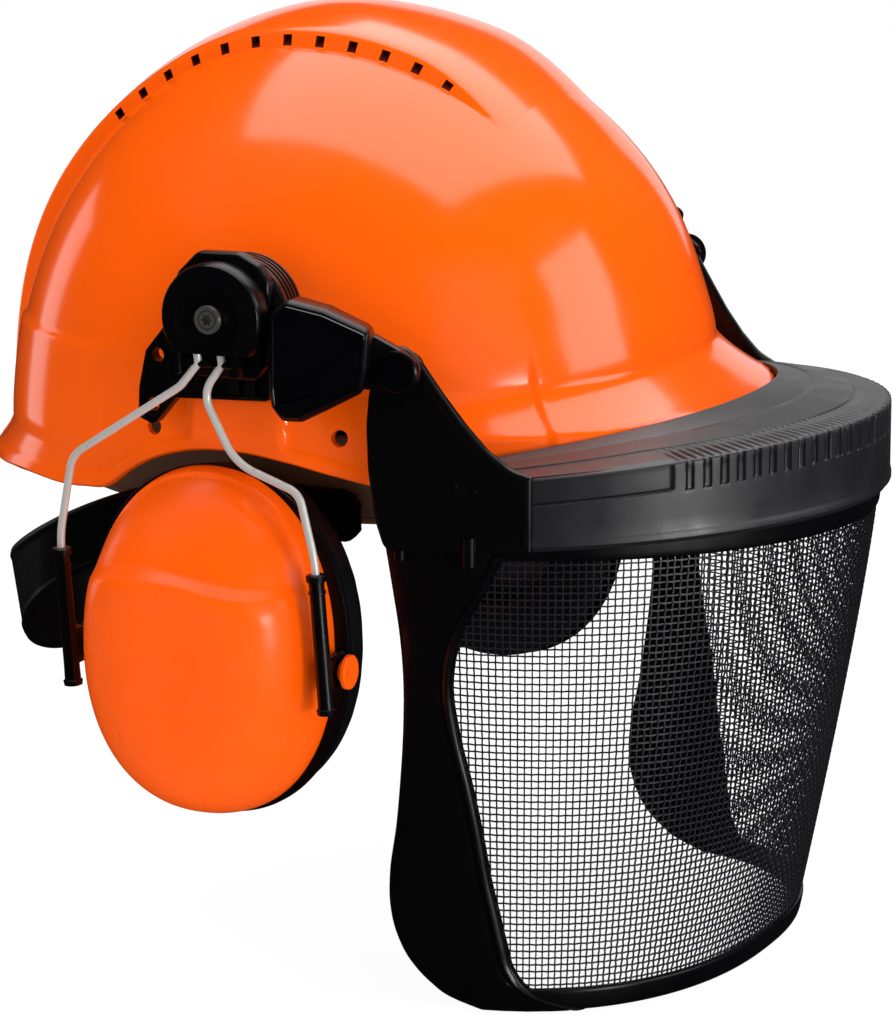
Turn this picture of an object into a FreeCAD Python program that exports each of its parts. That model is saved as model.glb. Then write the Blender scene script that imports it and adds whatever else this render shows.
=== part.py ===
"""Forestry hard hat: shell, suspension, ear muffs on wire arms and a hinged mesh visor.

Frame: millimetres, +Z up, the front (brim and visor) towards -Y, the wearer's right towards -X.
The origin is the head seat, the centre of the headband's opening at the level of the side rim.
"""
import FreeCAD, Part
import math
import os

Vector = FreeCAD.Vector
doc = FreeCAD.newDocument("forestry_hard_hat")
table = doc.addObject("Spreadsheet::Sheet", "sizes")

SIZES = {
    # shell: a superellipse plan that shrinks with height
    "shell_height": 134.0, "shell_half_width": 106.0, "shell_front": 110.0, "shell_rear": 116.8,
    "shell_wall": 2.8, "plan_power": 2.14, "side_power": 2.42, "front_power": 2.75,
    "rear_power": 2.1, "dome_root": 1.72, "apex_shift": 8.0,
    "brim_length": 23.0, "rear_lip": 7.0, "side_flare": 1.5,
    "crest_half_width": 30.0, "crest_rise": 3.2, "vent_count": 12.0,
    "side_hole_radius": 2.65, "side_hole_inner": 98.0,
    # suspension
    "band_half_width": 79.0, "band_half_length": 99.0, "band_centre": 4.0, "band_wall": 1.8,
    "band_bottom": -19.0, "band_top": 9.0,
    "strap_width": 20.0, "strap_wall": 1.2, "strap_crown": 96.0,
    "nape_front": -34.0, "nape_rear": 127.0, "nape_half_width": 81.6, "nape_wall": 2.2,
    "nape_lean": 9.0,
    # side attachment, distances from the middle plane of the helmet
    "plate_in": 110.5, "plate_out": 116.0, "housing_out": 121.0, "disc_in": 121.3, "disc_out": 130.0,
    "strip_in": 113.9, "strip_out": 117.6, "latch_out": 128.5,
    "pivot_y": -6.2, "pivot_z": 53.9, "disc_radius": 17.0, "disc_flat": 43.0,
    "screw_radius": 2.5, "screw_head": 4.0,
    "swing_x": 125.0, "swing_z": 39.2, "barrel_radius": 3.0, "wire_radius": 1.25,
    # ear cup
    "leg_x": 128.0, "leg_y": 44.1, "leg_slope": 0.08, "tilt_x": 118.5, "tilt_z": -54.7,
    "cup_y": 1.0, "cup_z": -50.8, "cup_half_length": 41.2, "cup_half_height": 55.3,
    "base_in": 109.0, "base_out": 112.3, "base_half_length": 45.3, "base_half_height": 55.6,
    "cushion_in": 94.5, "cup_wall": 2.4, "sleeve_radius": 2.6,
    # visor
    "knuckle_y": -64.3, "knuckle_z": 40.4, "knuckle_radius": 2.5, "arm_in": 110.4, "arm_out": 113.4,
    "guard_half_width": 110.4, "guard_side": -68.0, "guard_front": -176.0, "guard_power": 1.85,
    "guard_wall": 2.3, "frame_top": -17.0, "frame_bottom": -162.0,
    "mesh_wall": 1.0, "running_gap": 0.05,
}
for row, (alias, value) in enumerate(SIZES.items(), start=1):
    table.set("A%d" % row, alias)
    table.set("B%d" % row, str(value))
    table.setAlias("B%d" % row, alias)
doc.recompute()
nodes = []
RIGHT, LEFT = -1, 1
SIDE_NAMES = {RIGHT: "right", LEFT: "left"}


def size(alias):
    return float(table.get(alias))


# ---------------------------------------------------------------- helpers
def keep(obj, label):
    obj.Label = label
    nodes.append(obj)
    return obj


def feature(label, shape):
    """A sub-part whose form no primitive has: a shape of its own, at the frame's origin."""
    obj = doc.addObject("Part::Feature", label)
    obj.Shape = shape
    obj.Placement = shape.Placement
    return keep(obj, label)


def bound(kind, name, placement, **expressions):
    """A Part primitive whose sizes follow the sheet."""
    obj = doc.addObject(kind, name)
    obj.Placement = placement
    for prop, expression in expressions.items():
        obj.setExpression(prop, expression)
    return obj


def cut(name, base, tool):
    obj = doc.addObject("Part::Cut", name)
    obj.Base, obj.Tool = base, tool
    return obj


def fuse(name, *parts):
    obj = doc.addObject("Part::MultiFuse", name)
    obj.Shapes = list(parts)
    return obj


def along_x(x, y, z):
    """A placement that turns a primitive's own Z axis to +X."""
    return FreeCAD.Placement(Vector(x, y, z), FreeCAD.Rotation(Vector(0, 1, 0), 90))


def along_y(x, y, z):
    """A placement that turns a primitive's own Z axis to +Y."""
    return FreeCAD.Placement(Vector(x, y, z), FreeCAD.Rotation(Vector(1, 0, 0), -90))


def signed_power(value, power):
    return math.copysign(abs(value) ** power, value)


def closed_wire(points):
    curve = Part.BSplineCurve()
    curve.interpolate(points, PeriodicFlag=True)
    return Part.Wire(curve.toShape())


def polygon_wire(points):
    return Part.makePolygon(list(points) + [points[0]])


def strip(stations, ruled=False):
    """A solid through polygon sections that all have the same number of corners."""
    return Part.makeLoft([polygon_wire(s) for s in stations], True, ruled)


def mirror_x(shape):
    return shape.mirror(Vector(0, 0, 0), Vector(1, 0, 0))


def sided(shape, side):
    """Shapes are drawn on the left, +X, and mirrored for the right."""
    return shape if side == LEFT else mirror_x(shape)


def slab_x(side, near, far):
    """The lower X of a slab between two distances from the middle plane."""
    return near if side == LEFT else -far


def ellipse_points(half_a, half_b, centre_a, centre_b, x, power=2.0, count=28):
    points = []
    for k in range(count):
        turn = 2 * math.pi * k / count
        a = centre_a + half_a * signed_power(math.cos(turn), 2 / power)
        b = centre_b + half_b * signed_power(math.sin(turn), 2 / power)
        points.append(Vector(x, a, b))
    return points


def outline_body(label, outline, side, near, far, rounding):
    """A flat plate across X: a PartDesign pad of a polygon in Y and Z, its thickness bound to the sheet."""
    body = doc.addObject("PartDesign::Body", label)
    plane = next(f for f in body.Origin.OriginFeatures if f.Role == "YZ_Plane")
    sketch = body.newObject("Sketcher::SketchObject", label + "_outline")
    sketch.AttachmentSupport = [(plane, "")]
    sketch.MapMode = "FlatFace"
    corners = [Vector(y, z, 0) for y, z in outline]
    for piece in rounded_loop(corners, rounding):
        sketch.addGeometry(piece, False)
    pad = body.newObject("PartDesign::Pad", label + "_pad")
    pad.Profile = sketch
    pad.setExpression("Length", "sizes.%s - sizes.%s" % (far, near))
    body.Tip = pad
    base = slab_x(side, size(near), size(far))
    body.Placement = FreeCAD.Placement(Vector(base, 0, 0), FreeCAD.Rotation())
    return body


def rounded_loop(corners, radius):
    """Lines and tangent arcs round a closed polygon."""
    count = len(corners)
    ends = []
    for k in range(count):
        before, corner, after = corners[k - 1], corners[k], corners[(k + 1) % count]
        a = (before - corner)
        b = (after - corner)
        room = 0.45 * min(a.Length, b.Length)
        a.normalize()
        b.normalize()
        half = a.getAngle(b) / 2
        run = min(room, radius / math.tan(half))
        reach = run * math.tan(half) / math.sin(half) - run * math.tan(half)
        bisector = a + b
        bisector.normalize()
        middle = corner + bisector * reach
        ends.append((corner + a * run, middle, corner + b * run))
    path = []
    for k in range(count):
        start, middle, stop = ends[k]
        path.append(Part.Arc(start, middle, stop))
        path.append(Part.LineSegment(stop, ends[(k + 1) % count][0]))
    return path


def bent_wire(points, radii, wire_radius):
    """A round rod along straight runs joined by tangent arcs."""
    edges = []
    start = points[0]
    for k in range(1, len(points) - 1):
        corner = points[k]
        a = points[k - 1] - corner
        b = points[k + 1] - corner
        room = 0.45 * min(a.Length, b.Length)
        a.normalize()
        b.normalize()
        half = a.getAngle(b) / 2
        run = min(room, radii[k - 1] / math.tan(half))
        reach = run * math.tan(half) * (1 / math.sin(half) - 1)
        bisector = a + b
        bisector.normalize()
        first, last = corner + a * run, corner + b * run
        edges.append(Part.LineSegment(start, first).toShape())
        edges.append(Part.Arc(first, corner + bisector * reach, last).toShape())
        start = last
    edges.append(Part.LineSegment(start, points[-1]).toShape())
    path = Part.Wire(edges)
    direction = points[1] - points[0]
    circle = Part.Wire(Part.Circle(points[0], direction, wire_radius).toShape())
    rod = path.makePipeShell([circle], True, True)
    return rod


# ---------------------------------------------------------------- shell
def dome_extents(z, grow=0.0):
    """Half-width, front reach, rear reach and shift of the dome at a height."""
    height = size("shell_height") + grow
    u = min(max(z / height, 0.0), 0.9999)
    root = 1 / size("dome_root")
    half = (size("shell_half_width") + grow) * (1 - u ** size("side_power")) ** root
    front = (size("shell_front") + grow) * (1 - u ** size("front_power")) ** root
    rear = (size("shell_rear") + grow) * (1 - u ** size("rear_power")) ** root
    return half, front, rear, size("apex_shift") * u * u


def flare(z, start, depth, amount):
    """An outward flare that begins at a height and reaches its full amount a depth below it."""
    fall = min(max((start - z) / depth, 0.0), 1.0)
    return amount * fall ** 1.6


BRIM_START, BRIM_DEPTH = 33.0, 18.0
LIP_START, LIP_DEPTH = 1.0, 11.0
SIDE_START, SIDE_DEPTH = 26.0, 20.0


def shell_section(z, inset):
    """One closed plan section of the shell, inset for the inner side."""
    level = z + inset
    half, front, rear, shift = dome_extents(level)
    half += flare(level, SIDE_START, SIDE_DEPTH, size("side_flare")) - inset
    front += flare(level, BRIM_START, BRIM_DEPTH, size("brim_length")) - inset
    rear += flare(level, LIP_START, LIP_DEPTH, size("rear_lip")) - inset
    points = []
    count = 40
    power = 2 / size("plan_power")
    for k in range(count):
        turn = 2 * math.pi * k / count
        x = half * signed_power(math.cos(turn), power)
        reach = rear if math.sin(turn) > 0 else front
        points.append(Vector(x, shift + reach * signed_power(math.sin(turn), power), z))
    return closed_wire(points)


def shell_levels(top):
    low = [-17.0, -13.0, -10.0, -7.0, -4.0, -1.0, 3.0, 8.0, 13.0, 19.0, 26.0, 34.0]
    high = [top * math.sin(math.radians(a)) for a in (22, 31, 40, 49, 58, 66, 74, 81, 86)]
    return low + high


def dome_solid(inset, top):
    return Part.makeLoft([shell_section(z, inset) for z in shell_levels(top)], True, False)


CREST_HUMP = 1.1


def crest_solid():
    """The raised band over the crown, tallest half-way down the rear, fading out to the front."""
    rise = size("crest_rise")
    height = size("shell_height")
    wires = []
    for z in shell_levels(height + rise):
        u = min(max(z / (height + rise), 0.0), 0.9999)
        level = z * height / (height + rise)
        half, front, rear, shift = dome_extents(level)
        hump = 1 + CREST_HUMP * math.sin(math.pi * u) ** 2
        rear += flare(z, LIP_START, LIP_DEPTH, size("rear_lip")) + rise * hump
        points = []
        power = 2 / size("plan_power")
        for k in range(40):
            turn = 2 * math.pi * k / 40
            reach = rear if math.sin(turn) > 0 else front
            points.append(Vector(half * signed_power(math.cos(turn), power),
                                 shift + reach * signed_power(math.sin(turn), power), z))
        wires.append(closed_wire(points))
    body = Part.makeLoft(wires, True, False)
    half = size("crest_half_width")
    band = Part.makeBox(2 * half, 300, 190, Vector(-half, -140, -15))
    return body.common(band)


RIM = ((170, -12.5), (110, -12.2), (88, -9.9), (56, -9.0), (43, -6.6), (35.5, -1.4), (28, 2.9),
       (14, 7.6), (-5, 8.8), (-22, 6.6), (-38, 3.2), (-52, 0.5), (-74, 2.5), (-100, 9.0),
       (-120, 13.2), (-131, 15.0), (-170, 16.5))


def rim_cutter():
    """Everything below the rim line, which is a curve in Y and Z carried across X."""
    curve = Part.BSplineCurve()
    curve.interpolate([Vector(-150, y, z) for y, z in RIM[1:-1]])
    first, last = Vector(-150, RIM[1][0], RIM[1][1]), Vector(-150, RIM[-2][0], RIM[-2][1])
    rear, front = Vector(-150, RIM[0][0], RIM[0][1]), Vector(-150, RIM[-1][0], RIM[-1][1])
    low_front, low_rear = Vector(-150, -170, -60), Vector(-150, 170, -60)
    edges = [Part.LineSegment(rear, first).toShape(), curve.toShape(),
             Part.LineSegment(last, front).toShape(), Part.LineSegment(front, low_front).toShape(),
             Part.LineSegment(low_front, low_rear).toShape(), Part.LineSegment(low_rear, rear).toShape()]
    return Part.Face(Part.Wire(edges)).extrude(Vector(300, 0, 0))


SIDE_HOLES = ((-37.6, 14.6), (25.9, 13.4))
VENT_FIRST, VENT_LAST = 47.0, 121.0
VENT_CENTRE_Z = 30.0


def vent_places():
    """Even turns along the crest's edge, seen from a centre above the head seat."""
    places = []
    half = size("crest_half_width")
    count = int(size("vent_count"))
    for k in range(count):
        angle = math.radians(VENT_FIRST + k * (VENT_LAST - VENT_FIRST) / (count - 1))
        low, high = 0.0, 150.0
        for _ in range(40):
            reach = (low + high) / 2
            y = size("apex_shift") + reach * math.cos(angle)
            z = VENT_CENTRE_Z + reach * math.sin(angle)
            if z < size("shell_height") * 0.985 and inside_section(half, y, z):
                low = reach
            else:
                high = reach
        places.append((y, z, angle))
    return places


def inside_section(x, y, z):
    half, front, rear, shift = dome_extents(z)
    reach = rear if y > shift else front
    power = size("plan_power")
    return (abs(x) / half) ** power + (abs(y - shift) / reach) ** power < 1


def make_shell():
    outer = dome_solid(0.0, size("shell_height") - 0.3)
    inner = dome_solid(size("shell_wall"), size("shell_height") - size("shell_wall") - 0.5)
    outer_body = outer.fuse(crest_solid())
    bosses = []
    for y, z in SIDE_HOLES:
        for side in (RIGHT, LEFT):
            x = slab_x(side, size("side_hole_inner"), 112.0)
            boss = Part.makeCylinder(6.0, 112.0 - size("side_hole_inner"), Vector(x, y, z), Vector(1, 0, 0))
            bosses.append(boss.common(outer))
    shell = outer_body.cut(inner).cut(rim_cutter())
    shell = shell.fuse([b.cut(rim_cutter()) for b in bosses])
    holes = []
    for y, z in SIDE_HOLES:
        holes.append(Part.makeCylinder(size("side_hole_radius"), 300, Vector(-150, y, z), Vector(1, 0, 0)))
    for y, z, angle in vent_places():
        tilt = FreeCAD.Rotation(Vector(1, 0, 0), math.degrees(angle) - 90)
        for side in (RIGHT, LEFT):
            vent = Part.makeBox(6.0, 3.0, 2.6, Vector(-5.0 if side == LEFT else -1.0, -1.5, 0.2))
            vent.Placement = FreeCAD.Placement(Vector(side * size("crest_half_width"), y, z), tilt)
            holes.append(vent)
    shell = shell.cut(holes)
    return biggest(shell)


def biggest(shape):
    return max(shape.Solids, key=lambda solid: solid.Volume)


shell_shape = make_shell()
feature("shell", shell_shape)


# ---------------------------------------------------------------- suspension
def band_point(turn, half_width, half_length):
    return (half_width * math.sin(turn), size("band_centre") - half_length * math.cos(turn))


def ring(half_width, half_length, wall, bottom, top):
    outer = Part.Ellipse(Vector(0, size("band_centre"), bottom), half_length, half_width)
    inner = Part.Ellipse(Vector(0, size("band_centre"), bottom), half_length - wall, half_width - wall)
    faces = []
    for ellipse in (outer, inner):
        ellipse.rotate(FreeCAD.Placement(Vector(), FreeCAD.Rotation(Vector(0, 0, 1), 90)))
        ellipse.Center = Vector(0, size("band_centre"), bottom)
        faces.append(Part.Face(Part.Wire(ellipse.toShape())))
    return faces[0].cut(faces[1]).extrude(Vector(0, 0, top - bottom))


def make_headband():
    band = ring(size("band_half_width"), size("band_half_length"), size("band_wall"),
                size("band_bottom"), size("band_top"))
    feature("headband", biggest(band))
    pad = ring(size("band_half_width") - size("band_wall") - 0.1, size("band_half_length")
               - size("band_wall") - 0.1, 3.2, size("band_bottom") + 1.0, size("band_top") - 1.0)
    front = Part.makeBox(200, 76, 60, Vector(-100, -110, -30))
    feature("sweatband", biggest(pad.common(front)))


def strap_arch(level):
    """A textile strap over the crown, drawn across X, its foot at the clips."""
    foot = 22.0
    reach = 88.0
    crown = size("strap_crown") + level
    width, wall = size("strap_width"), size("strap_wall")
    stations = []
    for k in range(17):
        turn = math.pi * k / 16
        x, z = reach * math.cos(turn), foot + (crown - foot) * math.sin(turn)
        normal = Vector(math.cos(turn) / reach, 0, math.sin(turn) / (crown - foot))
        normal.normalize()
        centre = Vector(x, 0, z)
        side = Vector(0, width / 2, 0)
        stations.append([centre - side, centre + side,
                         centre + side + normal * wall, centre - side + normal * wall])
    return strip(stations)


STRAP_TURNS = (90.0, 32.0, -32.0)
CLIP_SPAN = {90.0: 99.0, 32.0: 89.5, -32.0: 89.5}


def make_straps():
    number = 1
    for level, turn in enumerate(STRAP_TURNS):
        arch = strap_arch(level * 1.6)
        stretch = FreeCAD.Matrix()
        stretch.A11 = (CLIP_SPAN[turn] - 4.0) / 88.0
        arch = arch.transformGeometry(stretch)
        arch.rotate(Vector(0, 0, 0), Vector(0, 0, 1), turn)
        arch.translate(Vector(0, size("band_centre"), 0))
        feature("crown_strap_%d" % (level + 1), arch)
        for end in (1, -1):
            clip = make_clip(end * CLIP_SPAN[turn], turn)
            feature("strap_clip_%d" % number, clip)
            number += 1


def make_clip(reach, turn):
    """A moulded clip that hangs from the shell's inner wall and holds one strap end."""
    sign = 1 if reach > 0 else -1
    body = Part.makeBox(5.0, 26.0, 24.0, Vector(-2.5, -13.0, 10.5))
    body = body.makeFillet(1.5, body.Edges)
    slot = Part.makeBox(1.8, 21.0, 7.0, Vector(-0.9, -10.5, 15.0))
    body = body.cut(slot)
    body.translate(Vector(reach, 0, 0))
    hook = Part.makeBox(7.5, 12.0, 3.0, Vector(reach + (2.0 if sign > 0 else -9.5), -6.0, 27.0))
    body = body.fuse(hook)
    body.rotate(Vector(0, 0, 0), Vector(0, 0, 1), turn)
    body.translate(Vector(0, size("band_centre"), 0))
    return biggest(body.cut(shell_shape))


def nape_centre(t):
    """Height and depth of the nape strap, t going from its front end to its middle at the rear."""
    s = min(max((t - 0.2) / 0.8, 0.0), 1.0)
    drop = s * s * (3 - 2 * s)
    return -15.0 - 58.0 * drop, 17.0 + 20.0 * t * t


def make_nape_strap():
    half, rear, front = size("nape_half_width"), size("nape_rear"), size("nape_front")
    turn_y = 38.0
    wall = size("nape_wall")
    straight = turn_y - front
    arc = 0.5 * math.pi * (half + rear - turn_y) / 2
    total = straight + arc
    stations = []
    count = 28
    for k in range(-count, count + 1):
        t = 1 - abs(k) / count
        run = t * total
        if run < straight:
            x, y, nx, ny = half, front + run, 1.0, 0.0
        else:
            turn = (run - straight) / arc * math.pi / 2
            x, y = half * math.cos(turn), turn_y + (rear - turn_y) * math.sin(turn)
            nx, ny = math.cos(turn) / half, math.sin(turn) / (rear - turn_y)
            length = math.hypot(nx, ny)
            nx, ny = nx / length, ny / length
        if k > 0:
            x, nx = -x, -nx
        z, depth = nape_centre(t)
        lean = size("nape_lean") * max(0.0, t - 0.6) / 0.4
        outer_top = Vector(x, y, z + depth / 2)
        outer_low = Vector(x - nx * lean, y - ny * lean, z - depth / 2)
        inward = Vector(-nx * wall, -ny * wall, 0)
        stations.append([outer_top, outer_low, outer_low + inward, outer_top + inward])
    feature("nape_strap", strip(stations))


make_headband()
make_straps()
make_nape_strap()


# ---------------------------------------------------------------- side attachments
BRACKET = ((13.0, 52.0), (17.3, 46.6), (22.7, 39.9), (25.2, 28.0), (25.5, 18.5), (20.0, 16.4),
           (12.4, 25.6), (-20.2, 27.0), (-20.2, 52.0))
HOUSING = ((10.5, 44.0), (11.5, 56.0), (9.0, 66.0), (2.0, 73.0), (-12.0, 73.4), (-20.5, 69.5),
           (-25.4, 64.5), (-25.4, 52.8), (-20.2, 52.8), (-20.2, 38.0), (-18.0, 34.0), (4.0, 34.0))
LATCH = ((-25.8, 40.0), (-27.0, 59.0), (-31.5, 62.4), (-36.0, 62.2), (-48.0, 59.2), (-60.0, 54.2),
         (-62.6, 48.5), (-59.6, 35.0), (-51.0, 29.6), (-37.0, 24.0), (-30.0, 24.6))
LATCH_STRIP = ((-20.6, 36.0), (-20.6, 50.0), (-52.0, 52.5), (-64.3, 47.2), (-70.6, 43.0),
               (-70.6, 36.0), (-64.3, 33.6), (-50.0, 34.0))
ARM = ((-57.0, 44.5), (-64.0, 48.0), (-70.5, 44.0), (-76.3, 36.0), (-83.0, 26.0), (-90.0, 17.5),
       (-97.0, 13.0), (-106.0, 12.0), (-106.0, -12.5), (-92.0, -15.5), (-57.5, -16.5),
       (-54.5, -8.0), (-52.0, 8.0), (-51.5, 22.0), (-52.5, 33.0))


def through_x(name, y, z, radius_expression, side, near, far):
    """A bound cylinder along X between two distances from the middle plane."""
    low = slab_x(side, near, far)
    tool = bound("Part::Cylinder", name, along_x(low, y, z), Radius=radius_expression)
    tool.Height = far - near
    return tool


def make_bracket(side):
    """The plate clipped to the shell, with a foot down to the shell's wall and two lug holes."""
    name = SIDE_NAMES[side]
    plate = outline_body("bracket_plate_%s" % name, BRACKET, side, "plate_in", "plate_out", 2.0)
    doc.recompute()
    tools = []
    for number, (y, z) in enumerate(((18.5, 38.7), (20.3, 23.0)), start=1):
        hole = bound("Part::Cylinder", "lug_hole_%s_%d" % (name, number),
                     along_x(slab_x(side, 105, 120), y, z), Height="15")
        hole.Radius = 2.2
        tools.append(hole)
    drilled = cut("drilled_plate_%s" % name, plate, fuse("lug_holes_%s" % name, *tools))
    doc.recompute()
    foot = Part.makeBox(22.0, 26.0, 14.0, Vector(slab_x(side, size("plate_in") - 22.0, size("plate_in")),
                                                 -19.0, 29.0))
    foot = biggest(foot.cut(dome_solid(-0.05, size("shell_height"))))
    pad = doc.addObject("Part::Feature", "bracket_foot_%s" % name)
    pad.Shape = foot
    keep(fuse("bracket_%s" % name, drilled, pad), "bracket_%s" % name)


def make_housing(side):
    name = SIDE_NAMES[side]
    keep(outline_body("housing_%s" % name, HOUSING, side, "plate_out", "housing_out", 7.0),
         "housing_%s" % name)


def make_latch(side):
    """The lock block in front of the disc, with the strip that carries the visor's knuckle pin."""
    name = SIDE_NAMES[side]
    block = outline_body("latch_face_%s" % name, LATCH, side, "strip_out", "latch_out", 3.5)
    strip_body = outline_body("latch_strip_%s" % name, LATCH_STRIP, side, "strip_in", "strip_out", 4.0)
    joined = fuse("latch_joined_%s" % name, block, strip_body)
    hole = through_x("latch_hole_%s" % name, size("knuckle_y"), size("knuckle_z"),
                     "sizes.knuckle_radius", side, size("strip_in") - 1, size("strip_out") + 1)
    keep(cut("latch_block_%s" % name, joined, hole), "latch_block_%s" % name)


def make_knuckle_pin(side):
    name = SIDE_NAMES[side]
    y, z = size("knuckle_y"), size("knuckle_z")
    shank = through_x("pin_shank_%s" % name, y, z, "sizes.knuckle_radius", side, 109.0, 118.8)
    inner = through_x("pin_inner_%s" % name, y, z, "sizes.knuckle_radius * 1.8", side, 108.0, 109.9)
    outer = through_x("pin_outer_%s" % name, y, z, "sizes.knuckle_radius * 1.8", side, 117.6, 119.4)
    keep(fuse("knuckle_pin_%s" % name, shank, inner, outer), "knuckle_pin_%s" % name)


def make_screw(side):
    name = SIDE_NAMES[side]
    y, z = size("pivot_y"), size("pivot_z")
    shank = through_x("screw_shank_%s" % name, y, z, "sizes.screw_radius", side,
                      size("housing_out"), size("disc_out") - 0.5)
    head = through_x("screw_head_%s" % name, y, z, "sizes.screw_head", side,
                     size("disc_out") - 1.6, size("disc_out") + 0.4)
    keep(fuse("pivot_screw_%s" % name, shank, head), "pivot_screw_%s" % name)


def make_disc(side):
    """The turning disc: dished, flat at the bottom, with two ears for the wire yoke."""
    name = SIDE_NAMES[side]
    y, z = size("pivot_y"), size("pivot_z")
    inner, outer = size("disc_in"), size("disc_out")
    radius = size("disc_radius")
    profile = [Vector(inner, 0, 0), Vector(inner, radius, 0), Vector(outer - 2.6, radius, 0),
               Vector(outer - 0.4, radius - 1.6, 0), Vector(outer, radius - 3.0, 0),
               Vector(outer - 0.2, radius - 4.4, 0), Vector(outer - 1.9, radius - 6.5, 0),
               Vector(outer - 1.9, 0, 0)]
    disc = Part.Face(polygon_wire(profile)).revolve(Vector(0, 0, 0), Vector(1, 0, 0), 360)
    disc.translate(Vector(0, y, z))
    flat = Part.makeBox(20, 60, 30, Vector(inner - 5, y - 30, size("disc_flat") - 30))
    disc = disc.cut(flat)
    ears = []
    for low in (-15.6, 4.4):
        ear = Part.makeBox(6.4, 2.6, 12.0, Vector(size("swing_x") - 3.2, low, size("swing_z") - 3.4))
        ears.append(ear)
    disc = disc.fuse(ears)
    bore = Part.makeCylinder(1.5 + size("running_gap"), 40, Vector(size("swing_x"), -25, size("swing_z")),
                             Vector(0, 1, 0))
    screw = Part.makeCylinder(size("screw_radius") + size("running_gap"), 40, Vector(100, y, z),
                              Vector(1, 0, 0))
    recess = Part.makeCylinder(size("screw_head") + 0.3, 3, Vector(outer - 1.9, y, z), Vector(1, 0, 0))
    disc = disc.cut([bore, screw, recess])
    feature("pivot_disc_%s" % name, biggest(sided(disc, side)))


def make_yoke(side):
    """The barrel that swings in the disc's ears and holds both wires."""
    name = SIDE_NAMES[side]
    x = side * size("swing_x")
    barrel = bound("Part::Cylinder", "barrel_%s" % name, along_y(x, -12.7, size("swing_z")),
                   Radius="sizes.barrel_radius")
    barrel.Height = 16.8
    trunnion = bound("Part::Cylinder", "trunnion_%s" % name, along_y(x, -15.3, size("swing_z")),
                     Height="22.0")
    trunnion.Radius = 1.5
    keep(fuse("yoke_%s" % name, barrel, trunnion), "yoke_%s" % name)


def leg_place(end, z):
    """Y of a wire leg at a height; end is -1 at the front and 1 at the rear."""
    return end * size("leg_y") + size("leg_slope") * (z - size("tilt_z"))


LEG_TOP, LEG_FOOT = -18.5, -64.0
WIRE_ROUTES = {
    "front": ((-8.5, 39.2), (-2.2, 30.0), (-13.5, 9.5), (-35.5, 2.0)),
    "rear": ((-0.4, 39.2), (5.6, 31.6), (43.0, 7.0)),
}
WIRE_BENDS = {"front": (9.0, 18.0, 7.0, 40.0), "rear": (9.0, 9.0, 40.0)}


def make_wires(side):
    name = SIDE_NAMES[side]
    for place, end in (("front", -1), ("rear", 1)):
        route = list(WIRE_ROUTES[place])
        route.append((leg_place(end, LEG_TOP), LEG_TOP))
        route.append((leg_place(end, LEG_FOOT), LEG_FOOT))
        points = []
        for y, z in route:
            fall = min(1.0, (size("swing_z") - z) / (size("swing_z") - LEG_TOP))
            x = size("swing_x") + (size("leg_x") - size("swing_x")) * fall
            points.append(Vector(x, y, z))
        rod = bent_wire(points, WIRE_BENDS[place], size("wire_radius"))
        feature("wire_%s_%s" % (place, name), sided(rod, side))


for side in (RIGHT, LEFT):
    make_bracket(side)
    make_housing(side)
    make_latch(side)
    make_knuckle_pin(side)
    make_screw(side)
    make_disc(side)
    make_yoke(side)
    make_wires(side)


# ---------------------------------------------------------------- ear cups
CUP_STEPS = ((0.0, 1.0, 1.0), (5.5, 1.005, 1.0), (11.5, 0.995, 0.992), (17.5, 0.945, 0.948),
             (23.5, 0.84, 0.868), (28.5, 0.665, 0.73), (32.5, 0.43, 0.53), (34.3, 0.2, 0.33))
CUP_POWER = 2.15
CUP_REACH = 36.0


def cup_form(inset):
    """The cup's bowl, filled; the inset bowl is its hollow."""
    wires = []
    for depth, wide, tall in CUP_STEPS:
        x = size("base_out") + depth * (1 - inset / CUP_REACH)
        wires.append(closed_wire(ellipse_points(size("cup_half_length") * wide - inset,
                                                size("cup_half_height") * tall - inset,
                                                size("cup_y"), size("cup_z"), x, CUP_POWER)))
    return Part.makeLoft(wires, True, False)


def flat_ring(near, far, half_length, half_height, inset_length, inset_height):
    """A ring across X with the cup's plan."""
    faces = []
    for length, height in ((half_length, half_height), (inset_length, inset_height)):
        faces.append(Part.Face(closed_wire(ellipse_points(length, height, size("cup_y") - 0.6,
                                                          size("cup_z"), near, CUP_POWER))))
    return faces[0].cut(faces[1]).extrude(Vector(far - near, 0, 0))


CUSHION_STEPS = ((0.0, -6.0, 5.0), (1.2, -2.6, 2.4), (3.5, -0.6, 0.6), (7.0, 0.0, 0.0),
                 (10.5, -0.6, 0.6), (12.8, -1.4, 1.4), (14.4, -1.8, 1.8))


def make_cushion(side):
    """A soft ring with rounded edges, from the base plate towards the head."""
    outer, inner = [], []
    for depth, grow, open_up in CUSHION_STEPS:
        x = size("cushion_in") + depth
        outer.append(closed_wire(ellipse_points(44.6 + grow, 54.6 + grow, size("cup_y") - 0.6,
                                                size("cup_z"), x, CUP_POWER)))
        inner.append(closed_wire(ellipse_points(24.0 + open_up, 34.0 + open_up, size("cup_y") - 0.6,
                                                size("cup_z"), x, CUP_POWER)))
    ring_shape = Part.makeLoft(outer, True, False).cut(Part.makeLoft(inner, True, False))
    feature("cushion_%s" % SIDE_NAMES[side], biggest(sided(ring_shape, side)))


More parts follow.
